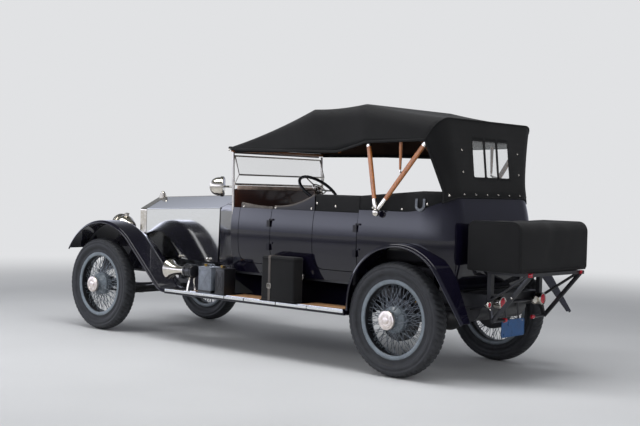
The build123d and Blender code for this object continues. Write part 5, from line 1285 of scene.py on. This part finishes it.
class CAR_OT_lamps(Operator):
    """Bezels, lenses and vents of the lamps, the turned spot lamp, the horn and the bar with the plate's lamp"""

    bl_idname = "car.lamps"
    bl_label = "Lamps and horn"

    def execute(self, context):
        bright, glass, red, dark, pale = Heap(), Heap(), Heap(), Heap(), Heap()
        for _, s in SIDES:
            lamp = np.array([2.275, s * 0.288, 1.000])
            bright.collar(mm([(46, 114), (50, 124), (56, 126.5), (70, 126.5), (79, 122), (82, 112), (78, 105),
                              (70, 106)]), lamp, AHEAD, 64)
            glass.turned(mm([(72, 1), (72, 106.5), (79.5, 105), (88, 85), (94.5, 50), (97.5, 1)]), lamp, AHEAD, 48)
            bright.turned(mm([(100, 20), (122, 20), (124, 27), (132, 27), (136, 20), (140, 1)]),
                          lamp - (0.025, 0.0, 0.0), UP, 24)
            bright.turned(mm([(116, 30), (122, 28), (126, 16), (136, 15), (139, 1)]), lamp, BACK, 24)
            tail = np.array([-2.263, s * 0.295, 0.612])
            bright.collar(mm([(-14, 45), (-12, 48), (1, 49.5), (7, 46), (8, 39), (3, 36)]), tail, BACK, 40)
            red.turned(mm([(-1, 1), (-1, 38.5), (6, 38), (13, 28), (17, 12), (17.5, 1)]), tail, BACK, 36)
        # The spot lamp stands turned on its bracket, its glass towards the driver
        spot, facing = np.array([0.512, 0.604, 1.436]), np.array([-math.cos(0.66), -math.sin(0.66), 0.0])
        lamp = Heap()
        lamp.collar(mm([(-19, 85), (-17, 91.5), (4, 91.5), (10, 88), (11, 80), (5, 79)]), spot, facing, 56)
        lamp.turned(mm([(-122, 1), (-118, 26), (-108, 48), (-91, 66), (-70, 77), (-46, 83), (-22, 84.5), (-12, 86),
                        (-12, 1)]), spot, facing, 48)
        tube(lamp, (0.385, 0.597, 1.436), spot - facing * 0.030, 0.009, 12)
        lamp.settled("spot_lamp_body", "nickel", "body", ["spot_lamp"])
        glass.turned(mm([(0, 1), (4, 80), (9, 77), (15, 48), (18, 1)]), spot, facing, 40)
        horn = np.array([station(2.290), 0.735, 0.660])
        dark.turned(mm([(-4, 1), (-4, 48), (2, 58), (10, 60.5), (20, 60.5), (22, 64), (27, 64), (29, 60.5),
                        (78, 60.5), (80, 65.5), (100, 65.5), (104, 62), (107, 52), (107, 30)]), horn, AHEAD, 48)
        bright.collar(mm([(329, 88.5), (334, 92), (338.5, 90.5), (339, 87), (334, 85.5)]), horn, AHEAD, 56)
        bright.collar(mm([(110, 44), (116, 52), (124, 52), (128, 40), (126, 30), (112, 30)]), horn, AHEAD, 48)
        trumpet = Heap()
        trumpet.turned(mm([(100, 1), (106, 34), (128, 30.5), (160, 31), (200, 35), (240, 42), (280, 55), (310, 71),
                           (331, 89), (332, 87), (310, 69), (280, 53), (240, 40), (200, 33), (160, 29), (150, 1)]),
                       horn, AHEAD, 48)
        for x, y in ((0.030, -0.030), (0.030, 0.030)):
            leg = smooth_rows([horn + (x, y, -0.055), horn + (x + 0.010, y, -0.090),
                               horn + (x + 0.014, y * 1.4, -0.150), horn + (x + 0.010, y * 1.6, -0.1785)], 5)
            trumpet.bar(leg, round_bar(0.020, 0.005, 0.002, 3), LEFT)
        trumpet.block(horn + (0.010, -0.070, -0.1795), horn + (0.070, 0.058, -0.1745), 0.002, 3)
        trumpet.settled("horn_trumpet", "nickel", "body", ["horn"])
        a = angles(8)
        places = horn + np.stack([np.full(8, 0.104), 0.057 * np.cos(a), 0.057 * np.sin(a)], -1)
        studs(bright, places, AHEAD, 0.0055, 6)
        # Bar behind the frame with the plate's lamp and a small side lamp
        tube(dark, (-2.192, -0.36, 0.600), (-2.192, 0.43, 0.600), 0.010, 10)
        for y, radius, heap in ((-0.236, 0.031, pale), (0.425, 0.024, red)):
            small = np.array([-2.202, y, 0.600])
            bright.turned([(-0.002, 0.001), (-0.002, radius * 0.7), (0.012, radius), (0.030, radius * 1.06),
                           (0.034, radius), (0.032, radius * 0.8)], small, BACK, 32)
            heap.turned([(0.026, 0.001), (0.030, radius * 0.85), (0.036, radius * 0.7), (0.040, radius * 0.3),
                         (0.041, 0.001)], small, BACK, 28)
        bright.settled("lamp_bezels", "nickel")
        glass.settled("lamp_lenses", "lamp_glass")
        red.settled("tail_lenses", "ruby")
        dark.settled("horn_motor", "enamel")
        pale.settled("plate_lamp_glass", "white")
        return {"FINISHED"}


def oblong(low, high, radius, at, count, flat=False):
    """Points of a rounded rectangle, low to high corner, standing in (x, z) at a y, or lying flat in (x, y) at a z."""
    edge = round_bar(high[0] - low[0], high[1] - low[1], radius, count)
    first, second = (low[0] + high[0]) / 2 + edge[:, 0], (low[1] + high[1]) / 2 + edge[:, 1]
    level = np.full(len(edge), at)
    return np.stack([first, second, level] if flat else [first, level, second], -1)


# From where to where the mats lie on the boards
MAT_RUNS = {"left": ((-1.085, -0.605), (-0.160, 0.245), (0.650, 0.730)), "right": ((-1.085, -0.1), (-0.08, 1.03))}


class CAR_OT_boards(Operator):
    """Mats and bright edge of the running boards, tool trunk, cans and their straps"""

    bl_idname = "car.boards"
    bl_label = "Running boards"

    def execute(self, context):
        self.mats()
        self.trunk()
        self.cans()
        return {"FINISHED"}

    def mats(self):
        """Ribbed mats, z = top + rib cos(2 pi y / pitch), with bright bindings; bright strips on the boards' edges."""
        mat, bright = Heap(), Heap()
        for side, s in SIDES:
            for x0, x1 in MAT_RUNS[side]:
                y = np.linspace(0.555, 0.778, 150)
                z = 0.4842 + 0.0016 * np.cos(2 * np.pi * y / 0.0124)
                ends = np.stack([np.stack([np.full(150, x), s * y, z], -1) for x in np.linspace(x0, x1, 6)])
                low = ends.copy()
                low[..., 2] = 0.4802
                mat.grid(np.concatenate([ends, low[:, ::-1]], 1), False, True, True)
                corners = np.array([(x, s * y, 0.4835) for x, y in ((x0, 0.552), (x1, 0.552), (x1, 0.781),
                                                                    (x0, 0.781))])
                path = np.concatenate([np.linspace(a, b, 4, endpoint=False)
                                       for a, b in zip(corners, np.roll(corners, -1, 0))])
                bright.hoop(path, round_bar(0.010, 0.006, 0.002, 3))
            cuts = np.array([-1.110, -0.717, -0.366, 0.014, 0.256, 1.046])
            section = mm([(784, 480.2), (784, 482.8), (798, 483.6), (803, 480), (803.6, 474), (803.6, 462),
                          (802.8, 458.5), (801.4, 458), (800.4, 458.5), (800.4, 462), (800.8, 474), (797, 480.2)])
            for x0, x1 in zip(cuts[:-1] + 0.005, cuts[1:] - 0.005):
                rows = np.stack([np.concatenate([np.full((12, 1), x), section * (s, 1.0)], 1) for x in (x0, x1)])
                bright.grid(rows, False, True, True)
            x = np.linspace(-1.09, 1.02, 18)
            places = np.stack([x, np.full(18, s * 0.8038), np.full(18, 0.470)], -1)
            studs(bright, places, (0.0, s, 0.0), 0.005, 8)
        mat.settled("board_mats", "mat", sharp=30.0)
        bright.settled("board_edges", "aluminium")

    def trunk(self):
        """Tool trunk: soft-edged box with a rolled top and foot, one strap round it with a buckle, and a side lock."""
        box, strap, metal = Heap(), Heap(), Heap()
        x0, x1, y0, y1, z0, z1 = -0.570, -0.195, 0.688, 0.806, 0.4803, 0.865
        box.block((x0, y0, z0), (x1, y1, z1), 0.016, 5)
        for z, thick in ((0.846, 0.010), (0.4985, 0.010)):
            path = oblong((x0, y0), (x1, y1), 0.016, z, 6, True)
            box.hoop(path, round_bar(0.008, thick, 0.003, 3))
        box.settled("tool_trunk_box", "duck", "body", ["tool_trunk"])
        x = -0.292
        line = smooth_rows([(x, 0.8085, 0.486), (x, 0.8085, 0.700), (x, 0.8085, 0.830), (x, 0.8110, 0.846),
                            (x, 0.8080, 0.858), (x, 0.797, 0.8665), (x, 0.760, 0.8675), (x, 0.700, 0.8665),
                            (x, 0.6865, 0.858), (x, 0.6830, 0.846), (x, 0.6855, 0.700)], 5)
        strap.bar(line, round_bar(0.0035, 0.026, 0.0012, 3), AHEAD)
        path = oblong((x - 0.018, 0.594), (x + 0.018, 0.634), 0.004, 0.8118, 4)
        metal.hoop(path, ring(0.0030, 8), LEFT)
        tube(metal, (x, 0.8125, 0.596), (x, 0.8125, 0.632), 0.0018, 6)
        metal.block((-0.583, 0.690, 0.680), (-0.5695, 0.712, 0.728), 0.0025, 3)
        strap.settled("tool_trunk_strap", "coaming")
        metal.settled("tool_trunk_buckles", "nickel")

    def cans(self):
        """Pressed cans: soft-edged boxes with a rolled rim, raised cross ribs, cap and handle, held by straps."""
        metal, bands = Heap(), Heap()
        for name, x0, x1, look in (("can_rear", 0.277, 0.389, "enamel"), ("can_front", 0.445, 0.610, "can")):
            heap = Heap()
            y0, y1, z0, z1 = 0.642, 0.7905, 0.4803, 0.718
            heap.block((x0, y0, z0), (x1, y1, z1), 0.012, 5)
            for z in (0.488, 0.711):
                path = oblong((x0, y0), (x1, y1), 0.012, z, 6, True)
                heap.hoop(path, ring(0.0035, 8))
            for y in (y1 + 0.0003, y0 - 0.0003):
                frame_line = oblong((x0 + 0.016, 0.512), (x1 - 0.016, 0.690), 0.012, y, 5)
                heap.hoop(frame_line, ring(0.003, 8), LEFT)
                for a, b in (((x0 + 0.022, 0.518), (x1 - 0.022, 0.684)), ((x0 + 0.022, 0.684), (x1 - 0.022, 0.518))):
                    tube(heap, (a[0], y, a[1]), (b[0], y, b[1]), 0.003, 8)
            middle = (x0 + x1) / 2
            for k in (-1, 1):
                grip = smooth_rows([(middle - 0.032 + k * 0.004, 0.716, 0.715), (middle - 0.030, 0.716, 0.733),
                                    (middle - 0.010, 0.716, 0.738), (middle + 0.012, 0.716, 0.733),
                                    (middle + 0.014 + k * 0.004, 0.716, 0.715)], 4)
                heap.bar(grip + (0.0, k * 0.018, 0.0), ring(0.0045, 8), LEFT)
            heap.settled(name, look, "body", ["cans"] if look == "can" else ())
            metal.turned(mm([(0, 20), (6, 20), (8, 24), (20, 24), (23, 20), (24, 1)]),
                         (middle + (x1 - x0) * 0.29, 0.716, 0.7165), UP, 20)
            path = oblong((x0 - 0.0025, y0 - 0.0025), (x1 + 0.0025, y1 + 0.0025), 0.014, 0.4990, 6, True)
            bands.hoop(path, round_bar(0.002, 0.018, 0.0008, 2))
        metal.settled("can_caps", "brass")
        bands.settled("can_straps", "enamel")


class CAR_OT_tail(Operator):
    """Cloth-covered rear trunk, rack tips and stays, and the bare number plate"""

    bl_idname = "car.tail"
    bl_label = "Tail"

    def execute(self, context):
        self.trunk()
        self.rack()
        return {"FINISHED"}

    def trunk(self):
        """Trunk cover: a rounded side profile carried across the car, shrinking at the ends, slack in slow waves."""
        x0, x1, z0, z1, half = station(-0.962), station(-0.492), 0.856, 1.238, 0.500
        count = 9
        a = np.linspace(0, np.pi / 2, count)
        corners = ((x1, z1, -1, -1, 0.060, 0), (x0, z1, 1, -1, 0.080, 1), (x0, z0, 1, 1, 0.030, 2),
                   (x1, z0, -1, 1, 0.020, 3))
        line = []
        for x, z, sx, sz, r, turn in corners:
            b = a + turn * np.pi / 2
            line.append(np.stack([x + sx * r + r * np.cos(b), z + sz * r + r * np.sin(b)], -1))
        line = np.concatenate(line)
        closed = np.concatenate([line, line[:1]])
        run = run_along(closed)
        t = np.linspace(0, run[-1], 120, endpoint=False)
        line = np.stack([np.interp(t, run, closed[:, k]) for k in range(2)], -1)
        middle = np.array([(x0 + x1) / 2, (z0 + z1) / 2])
        step = np.linspace(0, np.pi / 2, 6)
        edge = 0.020
        ys = np.concatenate([half - edge + edge * np.cos(step), np.linspace(half - 0.024, -half + 0.024, 40),
                             -half + edge - edge * np.cos(step)[::-1]])
        inset = np.concatenate([edge * (1 - np.sin(step)), np.zeros(40), edge * (1 - np.sin(step))[::-1]])
        away = line - middle
        slope = np.gradient(np.concatenate([line[-1:], line, line[:1]]), axis=0)[1:-1]
        normal = np.stack([slope[:, 1], -slope[:, 0]], -1)
        normal = unit(normal)
        normal = normal * np.sign((normal * away).sum(-1, keepdims=True))
        top = np.clip(normal[:, 1], 0, 1)[None]
        yy = ys[:, None]
        slack = 0.004 * np.sin(yy * 23.0 + line[None, :, 1] * 9.0) * (1 - np.abs(top - 0.5)) * np.cos(yy * np.pi)
        slack = slack * np.clip(1 - np.abs(yy) / half, 0, 1) ** 0.4 - 0.006 * top * np.clip(1 - (yy / half) ** 2, 0, 1)
        foot = np.clip((line[None, :, 1] - z0 - 0.03) / 0.05, 0, 1)
        push = np.minimum(slack, 0.0) * foot - 0.002 * foot - inset[:, None]
        xz = line[None] + normal[None] * push[..., None]
        heap = Heap()
        heap.grid(np.stack([xz[..., 0], np.broadcast_to(yy, xz.shape[:2]), xz[..., 1]], -1), False, True, True)
        item = heap.settled("rear_trunk_cover", "duck", "body", ["rear_trunk"], sharp=60.0)
        seam = Heap()
        for s in (1.0, -1.0):
            path = np.stack([line[:, 0] - normal[:, 0] * 0.006, np.full(len(line), s * (half - 0.006)),
                             line[:, 1] - normal[:, 1] * 0.006], -1)
            seam.hoop(path, ring(0.0045, 8), LEFT)
        hem = oblong((x0 + 0.004, -half + 0.004), (x1 - 0.004, half - 0.004), 0.025, z0 + 0.012, 8, True)
        seam.hoop(hem, round_bar(0.006, 0.016, 0.002, 3))
        seam.settled("rear_trunk_piping", "duck")

    def rack(self):
        """Red tips and lower stays of the rack, with bolts; bare plate with a raised edge on two straps."""
        red, black, plate, pale, bright = Heap(), Heap(), Heap(), Heap(), Heap()
        for _, s in SIDES:
            red.block((-2.5745, s * 0.374 - 0.0155, 0.8275), (-2.535, s * 0.374 + 0.0155, 0.8570), 0.004, 3)
            knee = np.array([-2.232, s * 0.380, 0.470])
            stay = smooth_rows([(-2.548, s * 0.374, 0.836), (-2.42, s * 0.376, 0.688), (-2.30, s * 0.379, 0.548),
                                knee], 6)
            black.bar(stay, round_bar(0.036, 0.013, 0.004, 3), LEFT)
            black.bar(np.linspace(knee, (-2.186, s * 0.360, 0.640), 5), round_bar(0.036, 0.012, 0.004, 3), LEFT)
            foot = np.array([knee[0], s * 0.205, 0.470])
            tube(black, knee + (0.0, s * 0.012, 0.0), foot, 0.012, 12)
            red.turned(mm([(-12, 1), (-12, 17), (14, 17), (18, 12), (19, 1)]), foot, (0.0, -s, 0.0), 20)
            studs(bright, [(-2.40, s * 0.390, 0.664), (-2.21, s * 0.380, 0.560)], (0.0, s, 0.0),
                  0.010, 6)
        for y in (-0.05, 0.13):
            black.bar(np.array([(-2.188, y, 0.604), (-2.188, y, 0.54), (-2.194, y, 0.49), (-2.1985, y, 0.456)]),
                      round_bar(0.005, 0.024, 0.002, 3), LEFT)
        wide, tall, middle_y, middle_z = 0.325, 0.136, 0.0425, 0.398
        rows = []
        for grow, x in ((-0.012, -2.2085), (-0.008, -2.2105), (-0.003, -2.2105), (0.0, -2.2085), (0.0, -2.2045),
                        (-0.012, -2.2045)):
            edge = round_bar(wide + 2 * grow, tall + 2 * grow, 0.014 + grow * 0.5, 5)
            rows.append(np.stack([np.full(len(edge), x), middle_y + edge[:, 0], middle_z + edge[:, 1]], -1))
        pale.grid(np.array(rows), True, True)
        edge = round_bar(wide - 0.020, tall - 0.020, 0.009, 5)
        sheet = [np.stack([np.full(len(edge), x), middle_y + edge[:, 0] * g, middle_z + edge[:, 1] * g], -1)
                 for x, g in ((-2.2050, 1.0), (-2.2086, 1.0), (-2.2088, 0.5), (-2.2089, 0.01))]
        plate.grid(np.array(sheet), False, True, True)
        studs(bright, [(-2.2090, y, 0.452) for y in (-0.085, 0.170)], BACK, 0.006, 8)
        red.settled("rack_tips", "ruby")
        black.settled("rack_stays", "enamel")
        plate.settled("number_plate", "plate")
        pale.settled("number_plate_edge", "plate")
        bright.settled("tail_bolts", "nickel")


def arch_wall(x, y, low, top, half):
    """A padded wall on the body's edge: at each x a flat foot, upright sides and a half-round top."""
    turn = np.linspace(0, np.pi, 9)
    side = np.concatenate([[half, half], half * np.cos(turn), [-half, -half]])
    rise = np.concatenate([[0.0, 0.5], np.ones(9), [0.5, 0.0]])
    cap = np.concatenate([[0.0, 0.0], half * np.sin(turn), [0.0, 0.0]])
    shoulder = np.asarray(top) - half
    z = np.asarray(low)[:, None] + (shoulder - low)[:, None] * rise + cap
    return np.stack([np.broadcast_to(np.asarray(x)[:, None], z.shape), np.asarray(y)[:, None] + side, z], -1)


# Foot of the padded rolls on the body's edge, and the top of the lowest one
ROLL_FOOT, ROLL_TOP = 1.2555, 1.276
# The dashboard's rear face, and its dials: y, z, radius
DASH_FACE = 0.3627
DIALS = ((-0.030, 1.232, 0.046), (0.080, 1.232, 0.038), (0.175, 1.232, 0.032), (0.260, 1.232, 0.032),
         (-0.460, 1.300, 0.034))


class CAR_OT_cabin(Operator):
    """Coaming, door bands, dials, steering wheel and levers"""

    bl_idname = "car.cabin"
    bl_label = "Cabin"

    def execute(self, context):
        self.coaming()
        self.dash()
        self.wheel()
        self.levers()
        return {"FINISHED"}

    def coaming(self):
        """Padded rolls on the front doors and the sides between the doors, bands on the rear doors, and their studs."""
        for side, s in SIDES:
            front, rear = f"door_front_{side}", f"door_rear_{side}"
            ahead = np.linspace(1.412, 1.820, 16)
            top = ROLL_TOP + 0.030 * ((ahead - 1.412) / 0.408) ** 2
            self.roll(f"door_roll_{side}", ahead, s * (0.642 - wall_bend(ahead)), top, 0.017, "coaming", front)
            ahead = np.linspace(0.929, 1.399, 22)
            top = ROLL_TOP + 0.116 * ((1.399 - ahead) / 0.470) ** 2.2
            middle = s * (0.640 - wall_bend(ahead))
            self.roll(f"side_roll_{side}", ahead, middle, top, 0.017, "hide")
            heap = Heap()
            heap.bar(np.stack([station(ahead), middle, top - 0.004], -1), ring(0.0135, 12))
            item = heap.settled(f"side_roll_bead_{side}", "coaming")
            ahead = np.linspace(0.447, 0.916, 14)
            self.roll(f"door_band_pad_{side}", ahead, np.full(14, s * 0.633), np.full(14, 1.3945), 0.0225, "duck", rear,
                      [f"door_band_{side}"])
            # Studs: piece, body, places as station, distance out before the side's bend, and height
            for name, body, places in (
                    ("door_band_stud", rear, ((0.70, 0.656, 1.300), (0.903, 0.656, 1.319))),
                    ("side_roll_studs", "body", ((0.962, 0.6575, 1.270), (1.377, 0.6575, 1.264))),
                    ("door_roll_stud", front, ((1.786, 0.6595, 1.264),))):
                heap = Heap()
                studs(heap, [(station(x), s * (y - wall_bend(x)), z) for x, y, z in places],
                      (0.0, s, 0.0), STUD_RADIUS)
                heap.settled(f"{name}_{side}", "nickel", body)

    def roll(self, name, ahead, y, top, half, look, body="body", replaces=()):
        """One padded roll along the body's edge."""
        heap = Heap()
        heap.grid(arch_wall(station(ahead), y, np.full(len(ahead), ROLL_FOOT), top, half), False, True, True)
        item = heap.settled(name, look, body, replaces, sharp=60.0)

    def dash(self):
        """Dials with bezels, ticks and hands, switches and the padded strip on the dashboard."""
        bright, white, dark = Heap(), Heap(), Heap()
        for y, z, r in DIALS:
            place = np.array([DASH_FACE, y, z])
            bright.collar([(0.0, r + 0.002), (0.010, r + 0.002), (0.014, r - 0.001), (0.013, r - 0.006),
                           (0.007, r - 0.007), (0.0, r - 0.007)], place, BACK, 40)
            white.turned([(0.0, 0.001), (0.0, r - 0.006), (0.0065, r - 0.006), (0.0068, 0.001)], place, BACK, 32)
            a = angles(24)
            arm = np.stack([0 * a, np.cos(a), np.sin(a)], -1)
            deep = np.where(np.arange(24) % 2 == 0, 0.76, 0.86)[:, None]
            face = place + (-0.0075, 0, 0)
            ends = np.stack([face + arm * (r - 0.008) * deep, face + arm * (r - 0.0085)], 1)
            t = angles(4)
            side = np.cross(arm, BACK)
            turn = side[:, None] * np.cos(t)[:, None] + np.array(AHEAD) * np.sin(t)[:, None]
            dark.grids(ends[:, :, None] + turn[:, None] * 0.0009)
            tube(dark, place + (-0.009, -0.2 * r, -0.1 * r), place + (-0.009, 0.5 * r, 0.45 * r), 0.0011, 6)
        for y in np.linspace(-0.36, -0.20, 4):
            bright.turned(mm([(0, 14), (4, 14), (6, 6), (20, 5), (22, 8), (27, 7), (28, 1)]), (DASH_FACE, y, 1.250),
                          BACK, 16)
        bright.settled("dial_bezels", "nickel")
        white.settled("dial_faces", "white")
        dark.settled("dial_marks", "enamel")
        strip = block_piece("dash_strip", (0.3520, -0.572, 1.4120), (0.3660, 0.572, 1.4480), 0.006)
        settle(strip, "pale")

    def wheel(self):
        """Steering wheel: a rim whose radius swells in finger grips, four flat arms and a hub with a control ring."""
        centre = np.array([station(1.715), -0.270, 1.425])
        tilt = math.radians(52.0)
        up = np.array([-math.cos(tilt), 0.0, math.sin(tilt)])
        u, v = np.array(LEFT), np.cross(up, LEFT)
        a = angles(160)
        path = centre + 0.200 * (np.cos(a)[:, None] * u + np.sin(a)[:, None] * v)
        rim = Heap()
        rim.hoop(path, ring(0.0145, 14), up, 1.0 - 0.05 * np.cos(a * 32))
        rim.settled("steering_rim", "enamel", "steering_wheel", ["steering_wheel"])
        arms = Heap()
        for turn in np.arange(4) * np.pi / 2:
            lead = math.cos(turn) * u + math.sin(turn) * v
            share = np.linspace(0.02, 0.192, 8)
            line = centre + share[:, None] * lead + (0.006 * np.cos(share / 0.2 * np.pi))[:, None] * up
            arms.bar(line, round_bar(0.020, 0.008, 0.003, 3), up, np.linspace(1.15, 0.8, 8))
        arms.collar(mm([(-22, 17), (-22, 30), (-10, 34), (6, 34), (12, 30), (20, 24), (22, 17)]), centre, up, 32)
        arms.collar(mm([(14, 60), (14, 70), (19, 70), (19, 60)]), centre, up, 40)
        arms.turned(mm([(12, 24.5), (22, 24.5), (28, 18), (30, 1)]), centre, up, 24)
        for turn in (0.7, 2.6):
            lead = math.cos(turn) * u + math.sin(turn) * v
            tube(arms, centre + up * 0.020, centre + up * 0.020 + lead * 0.085, 0.0035, 8)
        arms.settled("steering_arms", "nickel", "steering_wheel")

    def levers(self):
        """Gear and brake levers beside the driver, each a leaning bar with a knob, on a slotted gate."""
        metal = Heap()
        for x, lean in ((0.020, 0.06), (0.085, -0.05)):
            foot, head = np.array([x, -0.545, 0.700]), np.array([x - lean, -0.545, 1.130])
            tube(metal, foot, head, 0.009, 10)
            metal.turned(mm([(-2, 8), (6, 16), (22, 19), (36, 14), (41, 1)]), head, UP, 20)
        metal.block((-0.030, -0.556, 0.6905), (0.140, -0.534, 0.760), 0.006, 3)
        metal.settled("side_levers", "nickel")


class CAR_OT_fittings(Operator):
    """Bright handles on the bonnet's sides"""

    bl_idname = "car.fittings"
    bl_label = "Bonnet handles"

    def execute(self, context):
        for side, s in SIDES:
            heap = Heap()
            for x in (0.98, 1.40, 1.80):
                y = 0.3315 - 0.0735 * (x - 0.83) / 1.15
                near, far = sorted((s * (y - 0.002), s * (y + 0.006)))
                heap.block((x - 0.030, near, 0.738), (x + 0.030, far, 0.756), 0.003, 3)
                heap.turned(mm([(0, 10), (10, 9), (16, 13), (24, 12), (27, 1)]), (x, s * (y + 0.003), 0.747),
                            (0.0, s, 0.0), 16)
            heap.settled(f"bonnet_handles_{side}", "nickel", f"bonnet_side_{side}")
        return {"FINISHED"}


class CAR_PT_panel(Panel):
    """Lists the car's finishes, sizes and pieces"""

    bl_idname = "CAR_PT_panel"
    bl_label = "Touring car"
    bl_space_type = "VIEW_3D"
    bl_region_type = "UI"
    bl_category = "Touring car"

    def draw(self, context):
        layout = self.layout
        for group in (context.scene.car_finish, context.scene.car_sizes):
            for key in group.bl_rna.properties.keys():
                if key not in ("rna_type", "name"):
                    layout.prop(group, key)
        for operator in OPERATORS:
            layout.operator(operator.bl_idname)


OPERATORS = (CAR_OT_stage, CAR_OT_coachwork, CAR_OT_wheels, CAR_OT_hood, CAR_OT_sticks, CAR_OT_seats, CAR_OT_lamps,
             CAR_OT_boards, CAR_OT_tail, CAR_OT_cabin, CAR_OT_fittings)
CLASSES = (CarFinish, CarSizes, *OPERATORS, CAR_PT_panel)


def register():
    """Register the classes and hang the settings on the scene."""
    for item in CLASSES:
        bpy.utils.register_class(item)
    bpy.types.Scene.car_finish = PointerProperty(type=CarFinish)
    bpy.types.Scene.car_sizes = PointerProperty(type=CarSizes)


def unregister():
    """Take the settings off the scene and unregister the classes."""
    del bpy.types.Scene.car_sizes
    del bpy.types.Scene.car_finish
    for item in reversed(CLASSES):
        bpy.utils.unregister_class(item)


def main():
    """Dress the car piece by piece."""
    register()
    for operator in OPERATORS:
        group, name = operator.bl_idname.split(".")
        getattr(getattr(bpy.ops, group), name)()


if __name__ == "__main__":
    main()
